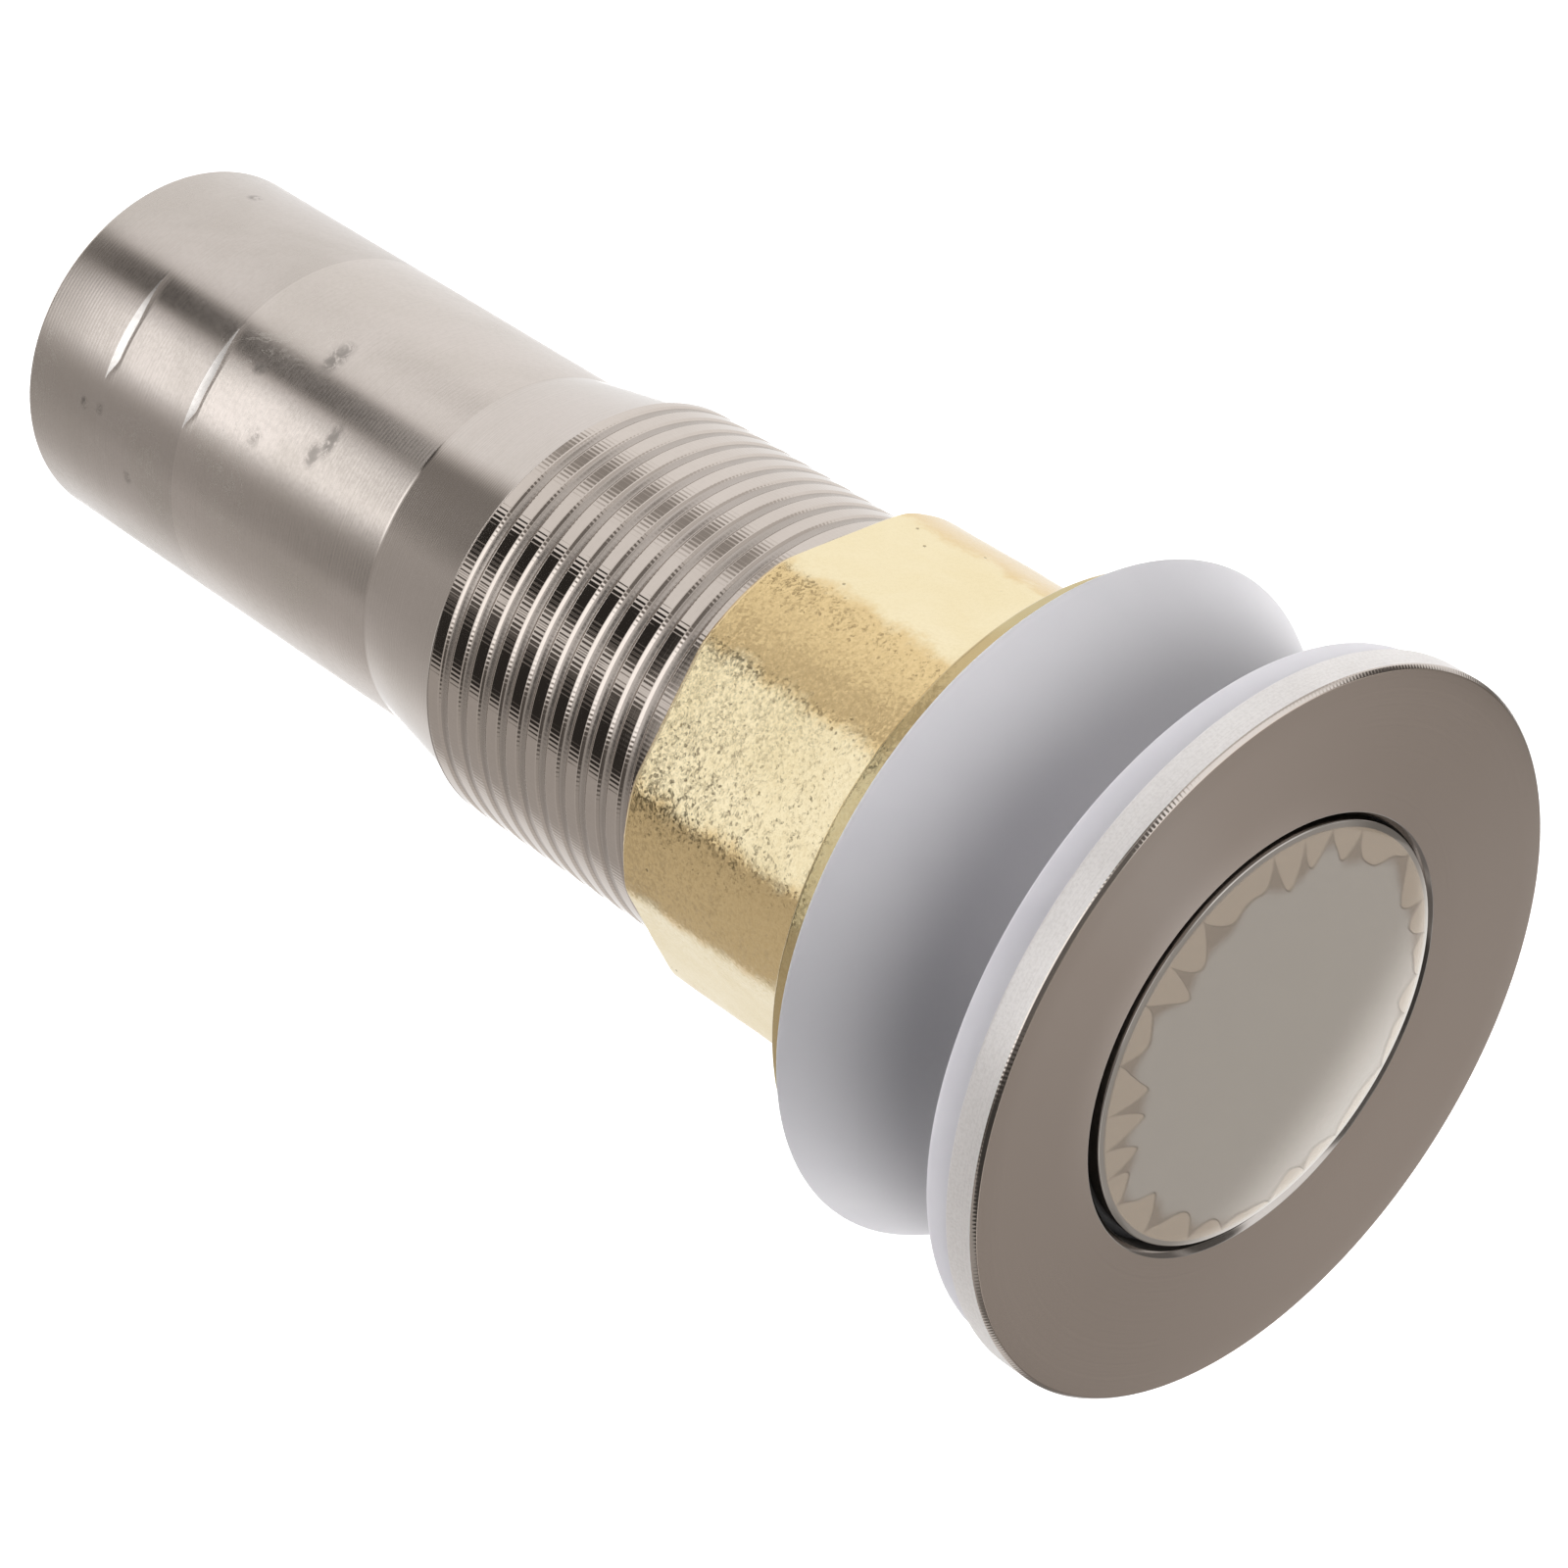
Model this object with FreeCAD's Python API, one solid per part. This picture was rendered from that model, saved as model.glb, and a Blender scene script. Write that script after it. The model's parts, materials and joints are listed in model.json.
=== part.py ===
import FreeCAD, Part
import math
import os

# A push-button basin waste: a flanged tube that hangs in the basin's hole, clamped from below
# by a brass nut and a soft cone washer, with a click plug whose spring core stands on a cross-bar.
# Millimetres, +Z up. The origin is on the tube's axis, in the plane where the gasket meets the basin.
# The middle of the nut's first flat faces 79 degrees from +X towards -Y.

Vec = FreeCAD.Vector
up = Vec(0, 0, 1)

# How far a cut runs past the face that it opens
overrun = 1.0

# Flange and gasket
flange_radius = 29.45
flange_rim = 2.8
flange_chamfer = 0.3
gasket_thickness = 2.8
gasket_inset = 0.7
gasket_bore_gap = 0.3

# Tube, from the tail up: each wider part is given by its step out from the one below
tail_radius = 16.0
tail_wall = 1.1
tail_length = 45.3
tail_edge = 0.6
ring_spacing = 10.4
ring_depth = 0.25
ring_width = 0.9
tube_fillet = 0.8
cone_length = 10.2
cone_step = 2.45
thread_depth_below_seat = 66.3
thread_end_chamfer = 0.5
neck_step = 0.75
neck_depth = 1.0
ledge_step = 0.4
plug_bore_wall = 1.4
plug_bore_depth = 4.6
plug_bore_entry = 0.2

# Cone washer and flanged nut
washer_top_depth = 3.9
washer_height = 12.45
washer_bore_gap = 0.25
washer_top_land = 1.9
washer_spread = 7.25
washer_rim_height = 0.9
washer_edge = 0.5
stack_gap = 0.05
nut_bore_gap = 0.1
nut_wall = 0.85
nut_corner_step = 0.85
nut_flange_width = 5.6
nut_flange_thickness = 2.35
nut_hub_length = 22.6
nut_flat_count = 6
nut_angle = -79.0
nut_end_chamfer = 0.7
nut_fillet = 0.9

# Plug: cap, hub, ring seal and film
plug_side_gap = 0.7
cap_wall = 0.8
cap_edge = 0.35
cap_dome = 1.0
cap_skirt = 1.85
hub_fit = 0.05
seal_section = 1.8
seal_bore_gap = 0.2
hub_lip = 0.7
hub_lip_inset = 0.1
hub_web = 1.6
hub_rim_width = 1.8
hub_rib_count = 6
hub_rib_width = 1.6
hub_boss_wall = 2.6
hub_boss_length = 4.2
film_margin = 0.45
film_gap = 0.01
film_thickness = 0.1

# Click core, from the stem out: each wider part is given by its step out from the one inside
open_travel = 8.0
press_travel = 1.0
core_gap = 0.3
stem_radius = 3.0
stem_fit = 0.08
stem_roof = 1.6
jam_nut_wall = 2.0
jam_nut_height = 2.4
journal_step = 0.8
journal_fit = 0.06
journal_tail = 0.9
guide_flange = 1.5
guide_spigot = 4.5
guide_edge = 0.6
wiper_section = 1.1
wiper_place = 0.6
barrel_wall = 1.5
barrel_fit = 0.05
crown_step = 1.2
rotor_side_gap = 0.4
rotor_height = 3.2
lug_width = 2.0
lug_height = 1.8
lug_count = 3
slot_side_gap = 0.35
catch_depth = 0.8
tooth_depth = 1.3
tooth_slope_share = 0.8
clip_thickness = 0.6
clip_groove = 0.4
clip_flange = 1.05
clip_side_gap = 0.2
clip_mouth_share = 0.7
thrust_width = 0.95
thrust_thickness = 0.5
spring_wire = 0.75
spring_wire_sides = 8
spring_turns = 7
spring_length = 10.6
spring_side_gap = 0.3
spring_seat_thickness = 0.5
base_floor = 1.0
base_flange = 1.5
stud_step = 1.0
stud_fit = 0.06
stud_tip = 2.2
stud_tip_chamfer = 0.6

# Cross-bar and its fastenings
cross_bar_height = 4.0
cross_bar_fit = 0.06
cross_bar_ring = 1.6
cross_bar_arm_count = 4
cross_bar_arm_width = 3.0
cross_bar_boss_inset = 0.3
lock_washer_inset = 0.1
lock_washer_thickness = 1.0
lock_nut_wall = 2.5
lock_nut_height = 4.0
nut_corner_slope = 30.0

# Radii worked out from the sizes above
gasket_radius = flange_radius - gasket_inset
outlet_bore_radius = tail_radius - tail_wall
water_way_radius = outlet_bore_radius + ledge_step
thread_radius = tail_radius + cone_step
neck_radius = thread_radius + neck_step
plug_bore_radius = neck_radius - plug_bore_wall

washer_bore_radius = thread_radius + washer_bore_gap
washer_top_radius = washer_bore_radius + washer_top_land
washer_radius = washer_top_radius + washer_spread
nut_bore_radius = thread_radius + nut_bore_gap
nut_flat_distance = nut_bore_radius + nut_wall
nut_hub_radius = nut_flat_distance + nut_corner_step
nut_flange_radius = nut_hub_radius + nut_flange_width

plug_radius = plug_bore_radius - plug_side_gap
cap_bore_radius = plug_radius - cap_wall
dome_radius = (plug_radius ** 2 + cap_dome ** 2) / (2 * cap_dome)
seal_ring_radius = plug_bore_radius - seal_bore_gap - seal_section / 2
seal_groove_radius = seal_ring_radius - seal_section / 2 - hub_fit
hub_lip_radius = plug_radius - hub_lip_inset
hub_boss_radius = stem_radius + hub_boss_wall

journal_radius = stem_radius - journal_step
stem_bore_radius = stem_radius + stem_fit
clip_radius = journal_radius + clip_flange
thrust_bore_radius = clip_radius + clip_side_gap
rotor_radius = thrust_bore_radius + thrust_width
crown_bore_radius = rotor_radius + rotor_side_gap
coil_radius = crown_bore_radius - spring_side_gap - spring_wire
barrel_bore_radius = crown_bore_radius + crown_step
sleeve_radius = barrel_bore_radius - barrel_fit
lug_radius = barrel_bore_radius - core_gap
barrel_radius = barrel_bore_radius + barrel_wall
stud_radius = stem_radius + stud_step
stud_bore_radius = stud_radius + stud_fit
cross_bar_radius = water_way_radius - cross_bar_fit

# Heights worked out from the sizes above
face_height = gasket_thickness + flange_rim
bore_floor = face_height - plug_bore_depth
thread_end = -thread_depth_below_seat
cone_end = thread_end - cone_length
tail_end = cone_end - tail_length

cap_roof = face_height - cap_wall
skirt_end = face_height - cap_skirt
seal_middle = skirt_end - hub_fit - seal_section / 2
seal_floor = skirt_end - 2 * hub_fit - seal_section
hub_bottom = seal_floor - hub_lip
boss_bottom = hub_bottom - hub_boss_length
jam_nut_bottom = boss_bottom - jam_nut_height

guide_top = jam_nut_bottom - press_travel - core_gap
barrel_top = guide_top - guide_flange
crown_top = barrel_top - guide_spigot
wiper_middle = crown_top + guide_spigot * wiper_place
lug_top = crown_top - core_gap - open_travel
crown_end = lug_top + core_gap
lug_bottom = lug_top - lug_height
rotor_bottom = lug_top - rotor_height
clip_top = rotor_bottom - stack_gap
clip_bottom = clip_top - clip_thickness
tooth_tip = lug_bottom - press_travel - core_gap
spring_top = rotor_bottom - stack_gap - thrust_thickness
spring_bottom = spring_top - spring_length
base_floor_top = spring_bottom - spring_seat_thickness
barrel_bottom = base_floor_top - base_floor
cross_bar_top = barrel_bottom - base_flange
ledge_height = cross_bar_top - cross_bar_height
lock_washer_bottom = ledge_height - lock_washer_thickness
lock_nut_bottom = lock_washer_bottom - lock_nut_height
stud_end = lock_nut_bottom - stud_tip

washer_top = -washer_top_depth
washer_bottom = washer_top - washer_height
nut_top = washer_bottom - stack_gap
nut_flange_bottom = nut_top - nut_flange_thickness
nut_bottom = nut_flange_bottom - nut_hub_length


def turned(points):
    """A solid of revolution about Z from a closed outline of (radius, height) points."""
    corners = [Vec(radius, 0, height) for radius, height in points]
    outline = Part.makePolygon(corners + [corners[0]])
    return Part.Face(outline).revolve(Vec(0, 0, 0), up, 360)


def rod(radius, bottom, top):
    return Part.makeCylinder(radius, top - bottom, Vec(0, 0, bottom))


def ring(inner, outer, bottom, top):
    return rod(outer, bottom, top).cut(rod(inner, bottom - overrun, top + overrun))


def prism(sides, flat_distance, bottom, top, turn=0.0):
    """A regular prism; one flat faces the direction given by turn, in degrees from +X."""
    corner_distance = flat_distance / math.cos(math.pi / sides)
    corners = []
    for side in range(sides + 1):
        angle = math.radians(turn) + (side + 0.5) * 2 * math.pi / sides
        corners.append(Vec(corner_distance * math.cos(angle), corner_distance * math.sin(angle), bottom))
    return Part.Face(Part.makePolygon(corners)).extrude(up * (top - bottom))


def bar(near, far, width, bottom, top):
    """A block along +X from near to far, centred on Y."""
    return Part.makeBox(far - near, width, top - bottom, Vec(near, -width / 2, bottom))


def around(shape, count, first_turn=0.0):
    """Copies of a shape, evenly spaced about Z."""
    copies = []
    for index in range(count):
        copy = shape.copy()
        copy.rotate(Vec(0, 0, 0), up, first_turn + index * 360.0 / count)
        copies.append(copy)
    return copies


def round_edges_at(shape, radius, height, size):
    """Rounds the circular edges of one radius at one height."""
    edges = [edge for edge in shape.Edges
             if not edge.Degenerated and hasattr(edge.Curve, "Radius")
             and abs(edge.Curve.Radius - radius) < 1e-4
             and abs(edge.CenterOfMass.z - height) < 1e-4]
    return shape.makeFillet(size, edges)


def hex_nut(flat, bore, bottom, top):
    """A hexagon nut with its corners turned off at both faces; flat is half its width."""
    corner = flat / math.cos(math.pi / 6)
    drop = (corner - flat) * math.tan(math.radians(nut_corner_slope))
    blank = turned([(0, bottom), (flat, bottom), (corner, bottom + drop),
                    (corner, top - drop), (flat, top), (0, top)])
    return prism(6, flat, bottom, top).common(blank).cut(rod(bore, bottom - overrun, top + overrun))


def tooth_gaps(far, tip, depth, count):
    """Saw-tooth cuts round a ring: each is steep on one side and slopes up to the next tooth."""
    slope_length = math.pi * far / count * tooth_slope_share
    past_tip = tip + math.copysign(core_gap / 2, depth)
    corners = [Vec(0, 0, past_tip), Vec(0, 0, tip - depth), Vec(0, slope_length, past_tip)]
    wedge = Part.Face(Part.makePolygon(corners + [corners[0]])).extrude(Vec(far, 0, 0))
    return around(wedge, count)


def drain_body():
    neck_bottom = -neck_depth
    seat_bottom = bore_floor - (plug_bore_radius - water_way_radius)
    outer = [(flange_radius - flange_chamfer, face_height),
             (flange_radius, face_height - flange_chamfer),
             (flange_radius, gasket_thickness),
             (neck_radius, gasket_thickness),
             (neck_radius, neck_bottom),
             (thread_radius, neck_bottom - neck_step),
             (thread_radius, thread_end + thread_end_chamfer),
             (thread_radius - thread_end_chamfer, thread_end),
             (tail_radius, cone_end)]
    for rings_up in (2, 1):
        middle = tail_end + rings_up * ring_spacing
        outer.append((tail_radius, middle + ring_width / 2))
        outer.append((tail_radius - ring_depth, middle + ring_width / 4))
        outer.append((tail_radius - ring_depth, middle - ring_width / 4))
        outer.append((tail_radius, middle - ring_width / 2))
    outer.append((tail_radius, tail_end + tail_edge))
    outer.append((tail_radius - tail_edge, tail_end))
    inner = [(outlet_bore_radius, tail_end),
             (outlet_bore_radius, ledge_height),
             (water_way_radius, ledge_height),
             (water_way_radius, seat_bottom),
             (plug_bore_radius, bore_floor),
             (plug_bore_radius, face_height - plug_bore_entry),
             (plug_bore_radius + plug_bore_entry, face_height)]
    return round_edges_at(turned(outer + inner), tail_radius, cone_end, tube_fillet)


def flange_gasket():
    body = ring(neck_radius + gasket_bore_gap, gasket_radius, 0, gasket_thickness)
    return round_edges_at(body, gasket_radius, 0, gasket_thickness / 5)


def cone_washer():
    body = turned([(washer_bore_radius, washer_top),
                   (washer_top_radius, washer_top),
                   (washer_radius - washer_edge, washer_bottom + washer_rim_height),
                   (washer_radius, washer_bottom + washer_edge),
                   (washer_radius - washer_edge, washer_bottom),
                   (washer_bore_radius, washer_bottom)])
    return round_edges_at(body, washer_top_radius, washer_top, washer_edge)


def flange_nut():
    flange = rod(nut_flange_radius, nut_flange_bottom, nut_top)
    flange = round_edges_at(flange, nut_flange_radius, nut_flange_bottom, nut_flange_thickness / 4)
    blank = turned([(0, nut_flange_bottom), (nut_hub_radius, nut_flange_bottom),
                    (nut_hub_radius, nut_bottom + nut_end_chamfer),
                    (nut_hub_radius - nut_end_chamfer, nut_bottom), (0, nut_bottom)])
    flats = prism(nut_flat_count, nut_flat_distance, nut_bottom, nut_flange_bottom, nut_angle)
    root_bottom = nut_flange_bottom - nut_fillet
    root = turned([(0, nut_flange_bottom), (nut_hub_radius + nut_fillet, nut_flange_bottom),
                   (nut_flat_distance, root_bottom), (0, root_bottom)])
    solid = flange.fuse(blank.common(flats)).fuse(root).removeSplitter()
    mouth_bottom = nut_bottom - overrun
    mouth_top = nut_bottom + nut_end_chamfer / 2
    mouth = turned([(0, mouth_bottom), (nut_bore_radius + mouth_top - mouth_bottom, mouth_bottom),
                    (nut_bore_radius, mouth_top), (0, mouth_top)])
    return solid.cut(rod(nut_bore_radius, mouth_bottom, nut_top + overrun)).cut(mouth)


def domed_rod(radius, bottom, rise):
    """A rod whose top is the cap's dome, or a dome that lies further out by rise."""
    top = face_height + cap_dome + rise
    dome = Part.makeSphere(dome_radius + rise, Vec(0, 0, top - dome_radius - rise))
    return rod(radius, bottom, top + overrun).common(dome)


def plug_cap():
    shell = domed_rod(plug_radius, skirt_end, 0)
    shell = round_edges_at(shell, plug_radius, face_height, cap_edge)
    return shell.cut(domed_rod(cap_bore_radius, skirt_end - overrun, -cap_wall))


def protective_film():
    radius = plug_radius - film_margin
    return domed_rod(radius, cap_roof, film_gap + film_thickness).cut(domed_rod(radius + overrun, 0, film_gap))


def plug_hub():
    spigot = cap_bore_radius - hub_fit
    pocket_roof = seal_floor + hub_web - hub_lip
    pocket_radius = seal_groove_radius - hub_rim_width
    disc = turned([(0, cap_roof), (spigot, cap_roof), (spigot, skirt_end),
                   (seal_groove_radius, skirt_end), (seal_groove_radius, seal_floor),
                   (hub_lip_radius, seal_floor), (hub_lip_radius - hub_lip, hub_bottom),
                   (0, hub_bottom)])
    pocket = ring(hub_boss_radius, pocket_radius, hub_bottom - overrun, pocket_roof)
    rib = bar(0, pocket_radius + overrun, hub_rib_width, hub_bottom - 2 * overrun, pocket_roof + overrun)
    for one_rib in around(rib, hub_rib_count):
        pocket = pocket.cut(one_rib)
    boss = rod(hub_boss_radius, boss_bottom, pocket_roof)
    tapped_hole = rod(stem_radius + hub_fit, boss_bottom - overrun, cap_roof - stem_roof)
    return disc.cut(pocket).fuse(boss).removeSplitter().cut(tapped_hole)


def plug_seal():
    return Part.makeTorus(seal_ring_radius, seal_section / 2, Vec(0, 0, seal_middle))


def plug_stem():
    roof = cap_roof - stem_roof - stack_gap
    shoulder = lug_top + stack_gap
    foot = clip_bottom - journal_tail
    groove = journal_radius - clip_groove
    chamfer = journal_radius / 4
    return turned([(0, roof), (stem_radius - chamfer, roof), (stem_radius, roof - chamfer),
                   (stem_radius, shoulder), (journal_radius, shoulder),
                   (journal_radius, clip_top), (groove, clip_top), (groove, clip_bottom),
                   (journal_radius, clip_bottom), (journal_radius, foot + chamfer),
                   (journal_radius - chamfer, foot), (0, foot)])


def stem_jam_nut():
    return hex_nut(stem_radius + jam_nut_wall, stem_radius + hub_fit, jam_nut_bottom, boss_bottom)


def cam_rotor():
    body = rod(rotor_radius, rotor_bottom, lug_top)
    lug = bar(journal_radius + journal_step, lug_radius, lug_width, lug_bottom, lug_top)
    half = lug_width / 2
    slope = Part.Face(Part.makePolygon([
        Vec(0, -half, lug_top), Vec(0, half, lug_top),
        Vec(0, -half, lug_top - lug_height / 3), Vec(0, -half, lug_top)]))
    slope = slope.extrude(Vec(lug_radius + overrun, 0, 0))
    slope = slope.cut(rod(rotor_radius, rotor_bottom, lug_top + overrun))
    for one_lug in around(lug.cut(slope), lug_count):
        body = body.fuse(one_lug)
    journal_bore = rod(journal_radius + journal_fit, rotor_bottom - overrun, lug_top + overrun)
    return body.removeSplitter().cut(journal_bore)


def rotor_clip():
    inner = journal_radius - clip_groove + hub_fit
    mouth = 2 * inner * clip_mouth_share
    opening = bar(0, clip_radius + overrun, mouth, clip_bottom - overrun, clip_top + overrun)
    return ring(inner, clip_radius, clip_bottom, clip_top).cut(opening)


def thrust_washer():
    return ring(thrust_bore_radius, rotor_radius, spring_top, spring_top + thrust_thickness)


def core_spring():
    """A coil of wire whose section has a few flats, with one facing each of up, down, in and out."""
    rise = spring_length - spring_wire
    start = spring_bottom + spring_wire / 2
    helix = Part.makeHelix(rise / spring_turns, rise, coil_radius)
    helix.translate(Vec(0, 0, start))
    step = 2 * math.pi / spring_wire_sides
    corner_distance = spring_wire / 2 / math.cos(step / 2)
    corners = []
    for side in range(spring_wire_sides):
        angle = (side + 0.5) * step
        corners.append(Vec(coil_radius + corner_distance * math.cos(angle), 0,
                           start + corner_distance * math.sin(angle)))
    section = Part.makePolygon(corners + [corners[0]])
    return Part.Wire(helix.Edges).makePipeShell([section], True, True)


def spring_seat():
    return ring(journal_radius, crown_bore_radius - spring_side_gap, base_floor_top, spring_bottom)


def stem_guide():
    groove = stem_bore_radius + wiper_section + hub_fit
    half = wiper_section / 2 + hub_fit
    return turned([(stem_bore_radius, guide_top), (barrel_radius - guide_edge, guide_top),
                   (barrel_radius, guide_top - guide_edge), (barrel_radius, barrel_top),
                   (sleeve_radius, barrel_top), (sleeve_radius, crown_top), (stem_bore_radius, crown_top),
                   (stem_bore_radius, wiper_middle - half), (groove, wiper_middle - half),
                   (groove, wiper_middle + half), (stem_bore_radius, wiper_middle + half)])


def stem_wiper():
    return Part.makeTorus(stem_bore_radius + wiper_section / 2, wiper_section / 2, Vec(0, 0, wiper_middle))


def core_barrel():
    barrel = rod(barrel_radius, barrel_bottom, barrel_top)
    barrel = barrel.cut(rod(barrel_bore_radius, barrel_bottom - overrun, crown_end))
    barrel = barrel.cut(rod(crown_bore_radius, crown_end - overrun, barrel_top + overrun))
    barrel = barrel.cut(rod(barrel_bore_radius, crown_top, barrel_top + overrun))
    near = crown_bore_radius - overrun
    far = barrel_bore_radius + overrun
    slot_width = lug_width + 2 * slot_side_gap
    slot = bar(near, far, slot_width, crown_end - overrun, crown_top)
    catch = bar(near, far, slot_width, crown_end - overrun, crown_end + catch_depth)
    cuts = around(slot, lug_count) + around(catch, lug_count, 180.0 / lug_count)
    cuts += tooth_gaps(far, crown_end, -catch_depth, 2 * lug_count)
    reach = rod(barrel_bore_radius, crown_end - overrun, crown_top)
    for cut in cuts:
        barrel = barrel.cut(cut.common(reach))
    return barrel


def core_base():
    cup = turned([(crown_bore_radius, tooth_tip), (sleeve_radius, tooth_tip),
                  (sleeve_radius, barrel_bottom), (barrel_radius, barrel_bottom),
                  (barrel_radius, cross_bar_top), (stud_radius, cross_bar_top),
                  (stud_radius, stud_end + stud_tip_chamfer),
                  (stud_radius - stud_tip_chamfer, stud_end), (0, stud_end),
                  (0, base_floor_top), (crown_bore_radius, base_floor_top)])
    for gap in tooth_gaps(barrel_radius + overrun, tooth_tip, tooth_depth, 2 * lug_count):
        cup = cup.cut(gap)
    return cup


def cross_bar():
    spider = ring(cross_bar_radius - cross_bar_ring, cross_bar_radius, ledge_height, cross_bar_top)
    spider = spider.fuse(rod(barrel_radius - cross_bar_boss_inset, ledge_height, cross_bar_top))
    arm = bar(0, cross_bar_radius - cross_bar_ring / 2, cross_bar_arm_width, ledge_height, cross_bar_top)
    for one_arm in around(arm, cross_bar_arm_count, 180.0 / cross_bar_arm_count):
        spider = spider.fuse(one_arm)
    stud_hole = rod(stud_bore_radius, ledge_height - overrun, cross_bar_top + overrun)
    return spider.removeSplitter().cut(stud_hole)


def core_lock_washer():
    return ring(stud_bore_radius, barrel_radius - lock_washer_inset, lock_washer_bottom, ledge_height)


def core_lock_nut():
    return hex_nut(stud_radius + lock_nut_wall, stud_bore_radius, lock_nut_bottom, lock_washer_bottom)


pieces = [drain_body, flange_gasket, cone_washer, flange_nut,
          plug_cap, protective_film, plug_hub, plug_seal, plug_stem, stem_jam_nut,
          cam_rotor, rotor_clip, thrust_washer, core_spring, spring_seat,
          stem_guide, stem_wiper, core_barrel, core_base,
          cross_bar, core_lock_washer, core_lock_nut]

os.makedirs("parts", exist_ok=True)
for make in pieces:
    shape = make()
    shape.exportStep("parts/" + make.__name__ + ".step")
    print(make.__name__, "valid" if shape.isValid() else "NOT VALID", "solids", len(shape.Solids),
          "volume", round(shape.Volume, 1), "z", round(shape.BoundBox.ZMin, 2), round(shape.BoundBox.ZMax, 2))
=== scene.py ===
import bpy
import bmesh
import json
import math
from mathutils import Matrix, Vector, noise


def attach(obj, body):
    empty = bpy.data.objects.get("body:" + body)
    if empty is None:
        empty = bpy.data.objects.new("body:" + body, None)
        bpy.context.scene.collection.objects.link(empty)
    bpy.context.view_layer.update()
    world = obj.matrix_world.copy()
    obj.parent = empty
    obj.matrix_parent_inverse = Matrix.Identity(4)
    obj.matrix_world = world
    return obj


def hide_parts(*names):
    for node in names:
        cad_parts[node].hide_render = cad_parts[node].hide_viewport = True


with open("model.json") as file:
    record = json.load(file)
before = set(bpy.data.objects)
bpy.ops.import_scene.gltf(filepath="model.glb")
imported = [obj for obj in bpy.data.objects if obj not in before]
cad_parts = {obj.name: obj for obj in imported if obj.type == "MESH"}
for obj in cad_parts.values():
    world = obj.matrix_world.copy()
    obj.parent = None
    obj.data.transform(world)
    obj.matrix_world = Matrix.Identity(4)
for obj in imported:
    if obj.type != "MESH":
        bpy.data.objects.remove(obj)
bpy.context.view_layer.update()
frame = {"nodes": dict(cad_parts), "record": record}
scene = bpy.context.scene
mm = 0.001
print("frame loaded:", len(frame["nodes"]), "nodes")

# The tube hangs along -Z with its flange face at faceHeight; the view is solved from the photograph's
# ellipses: faceCentre is the middle of the flange face seen from the camera (right, down, away), in mm.
cameraFit = {"faceCentre": (34.44, 18.23, 350.90), "faceHeight": 5.6, "tilt": 35.938, "turn": 212.979,
             "focalPixels": 5053.2, "framePixels": 1600, "sensor": 36.0}


def placeCamera(fit):
    tilt, turn = math.radians(fit["tilt"]), math.radians(fit["turn"])
    seenX = Vector((math.sin(turn), -math.cos(turn), 0))
    seenZ = Vector((-math.cos(tilt) * math.cos(turn), -math.cos(tilt) * math.sin(turn), -math.sin(tilt)))
    seenY = seenZ.cross(seenX)
    right = Vector((seenX.x, seenY.x, seenZ.x))
    up = -Vector((seenX.y, seenY.y, seenZ.y))
    back = -Vector((seenX.z, seenY.z, seenZ.z))
    seen = Vector(fit["faceCentre"])
    spot = Vector((-seen.dot(seenX), -seen.dot(seenY), fit["faceHeight"] - seen.dot(seenZ))) * mm
    lens = bpy.data.cameras.new("photoCamera")
    lens.sensor_width = fit["sensor"]
    lens.lens = fit["focalPixels"] / fit["framePixels"] * fit["sensor"]
    lens.clip_start, lens.clip_end = 0.02, 20
    camera = bpy.data.objects.new("photoCamera", lens)
    camera.matrix_world = Matrix(((right.x, up.x, back.x, spot.x), (right.y, up.y, back.y, spot.y),
                                  (right.z, up.z, back.z, spot.z), (0, 0, 0, 1)))
    scene.collection.objects.link(camera)
    scene.camera = camera


placeCamera(cameraFit)
print("camera placed")


def addNode(tree, kind, inputs=None, **settings):
    # a node with its settings, and each input either linked or set
    node = tree.nodes.new(kind)
    for name, value in settings.items():
        setattr(node, name, value)
    for key, value in (inputs or {}).items():
        if isinstance(value, bpy.types.NodeSocket):
            tree.links.new(value, node.inputs[key])
        else:
            node.inputs[key].default_value = value
    return node


def calc(tree, operation, *values, clamp=False):
    inputs = dict(enumerate(values))
    return addNode(tree, "ShaderNodeMath", inputs, operation=operation, use_clamp=clamp).outputs[0]


def plus(tree, base, value, amount):
    # base with so much of value on top
    return calc(tree, "ADD", base, calc(tree, "MULTIPLY", value, amount))


def ramp(tree, value, low, high, toLow=0.0, toHigh=1.0, smooth=True):
    node = addNode(tree, "ShaderNodeMapRange", {"Value": value, "From Min": low, "From Max": high,
                                                "To Min": toLow, "To Max": toHigh})
    node.interpolation_type = "SMOOTHSTEP" if smooth else "LINEAR"
    return node.outputs["Result"]


def blendColour(tree, share, first, second, mode="MIX"):
    node = tree.nodes.new("ShaderNodeMix")
    node.data_type, node.blend_type = "RGBA", mode
    for key, value in ((0, share), (6, first), (7, second)):
        if isinstance(value, bpy.types.NodeSocket):
            tree.links.new(value, node.inputs[key])
        elif key:
            node.inputs[key].default_value = (*value, 1)
        else:
            node.inputs[key].default_value = value
    return node.outputs[2]


def grain(tree, place, scale, detail=2.0, rough=0.5, warp=0.0):
    return addNode(tree, "ShaderNodeTexNoise", {"Vector": place, "Scale": scale, "Detail": detail,
                                                "Roughness": rough, "Distortion": warp}).outputs["Fac"]


def vectorCalc(tree, operation, inputs, result="Vector"):
    return addNode(tree, "ShaderNodeVectorMath", inputs, operation=operation).outputs[result]


def emptyMaterial(name):
    finish = bpy.data.materials.new(name)
    finish.use_nodes = True
    finish.node_tree.nodes.clear()
    return finish, finish.node_tree


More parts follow.
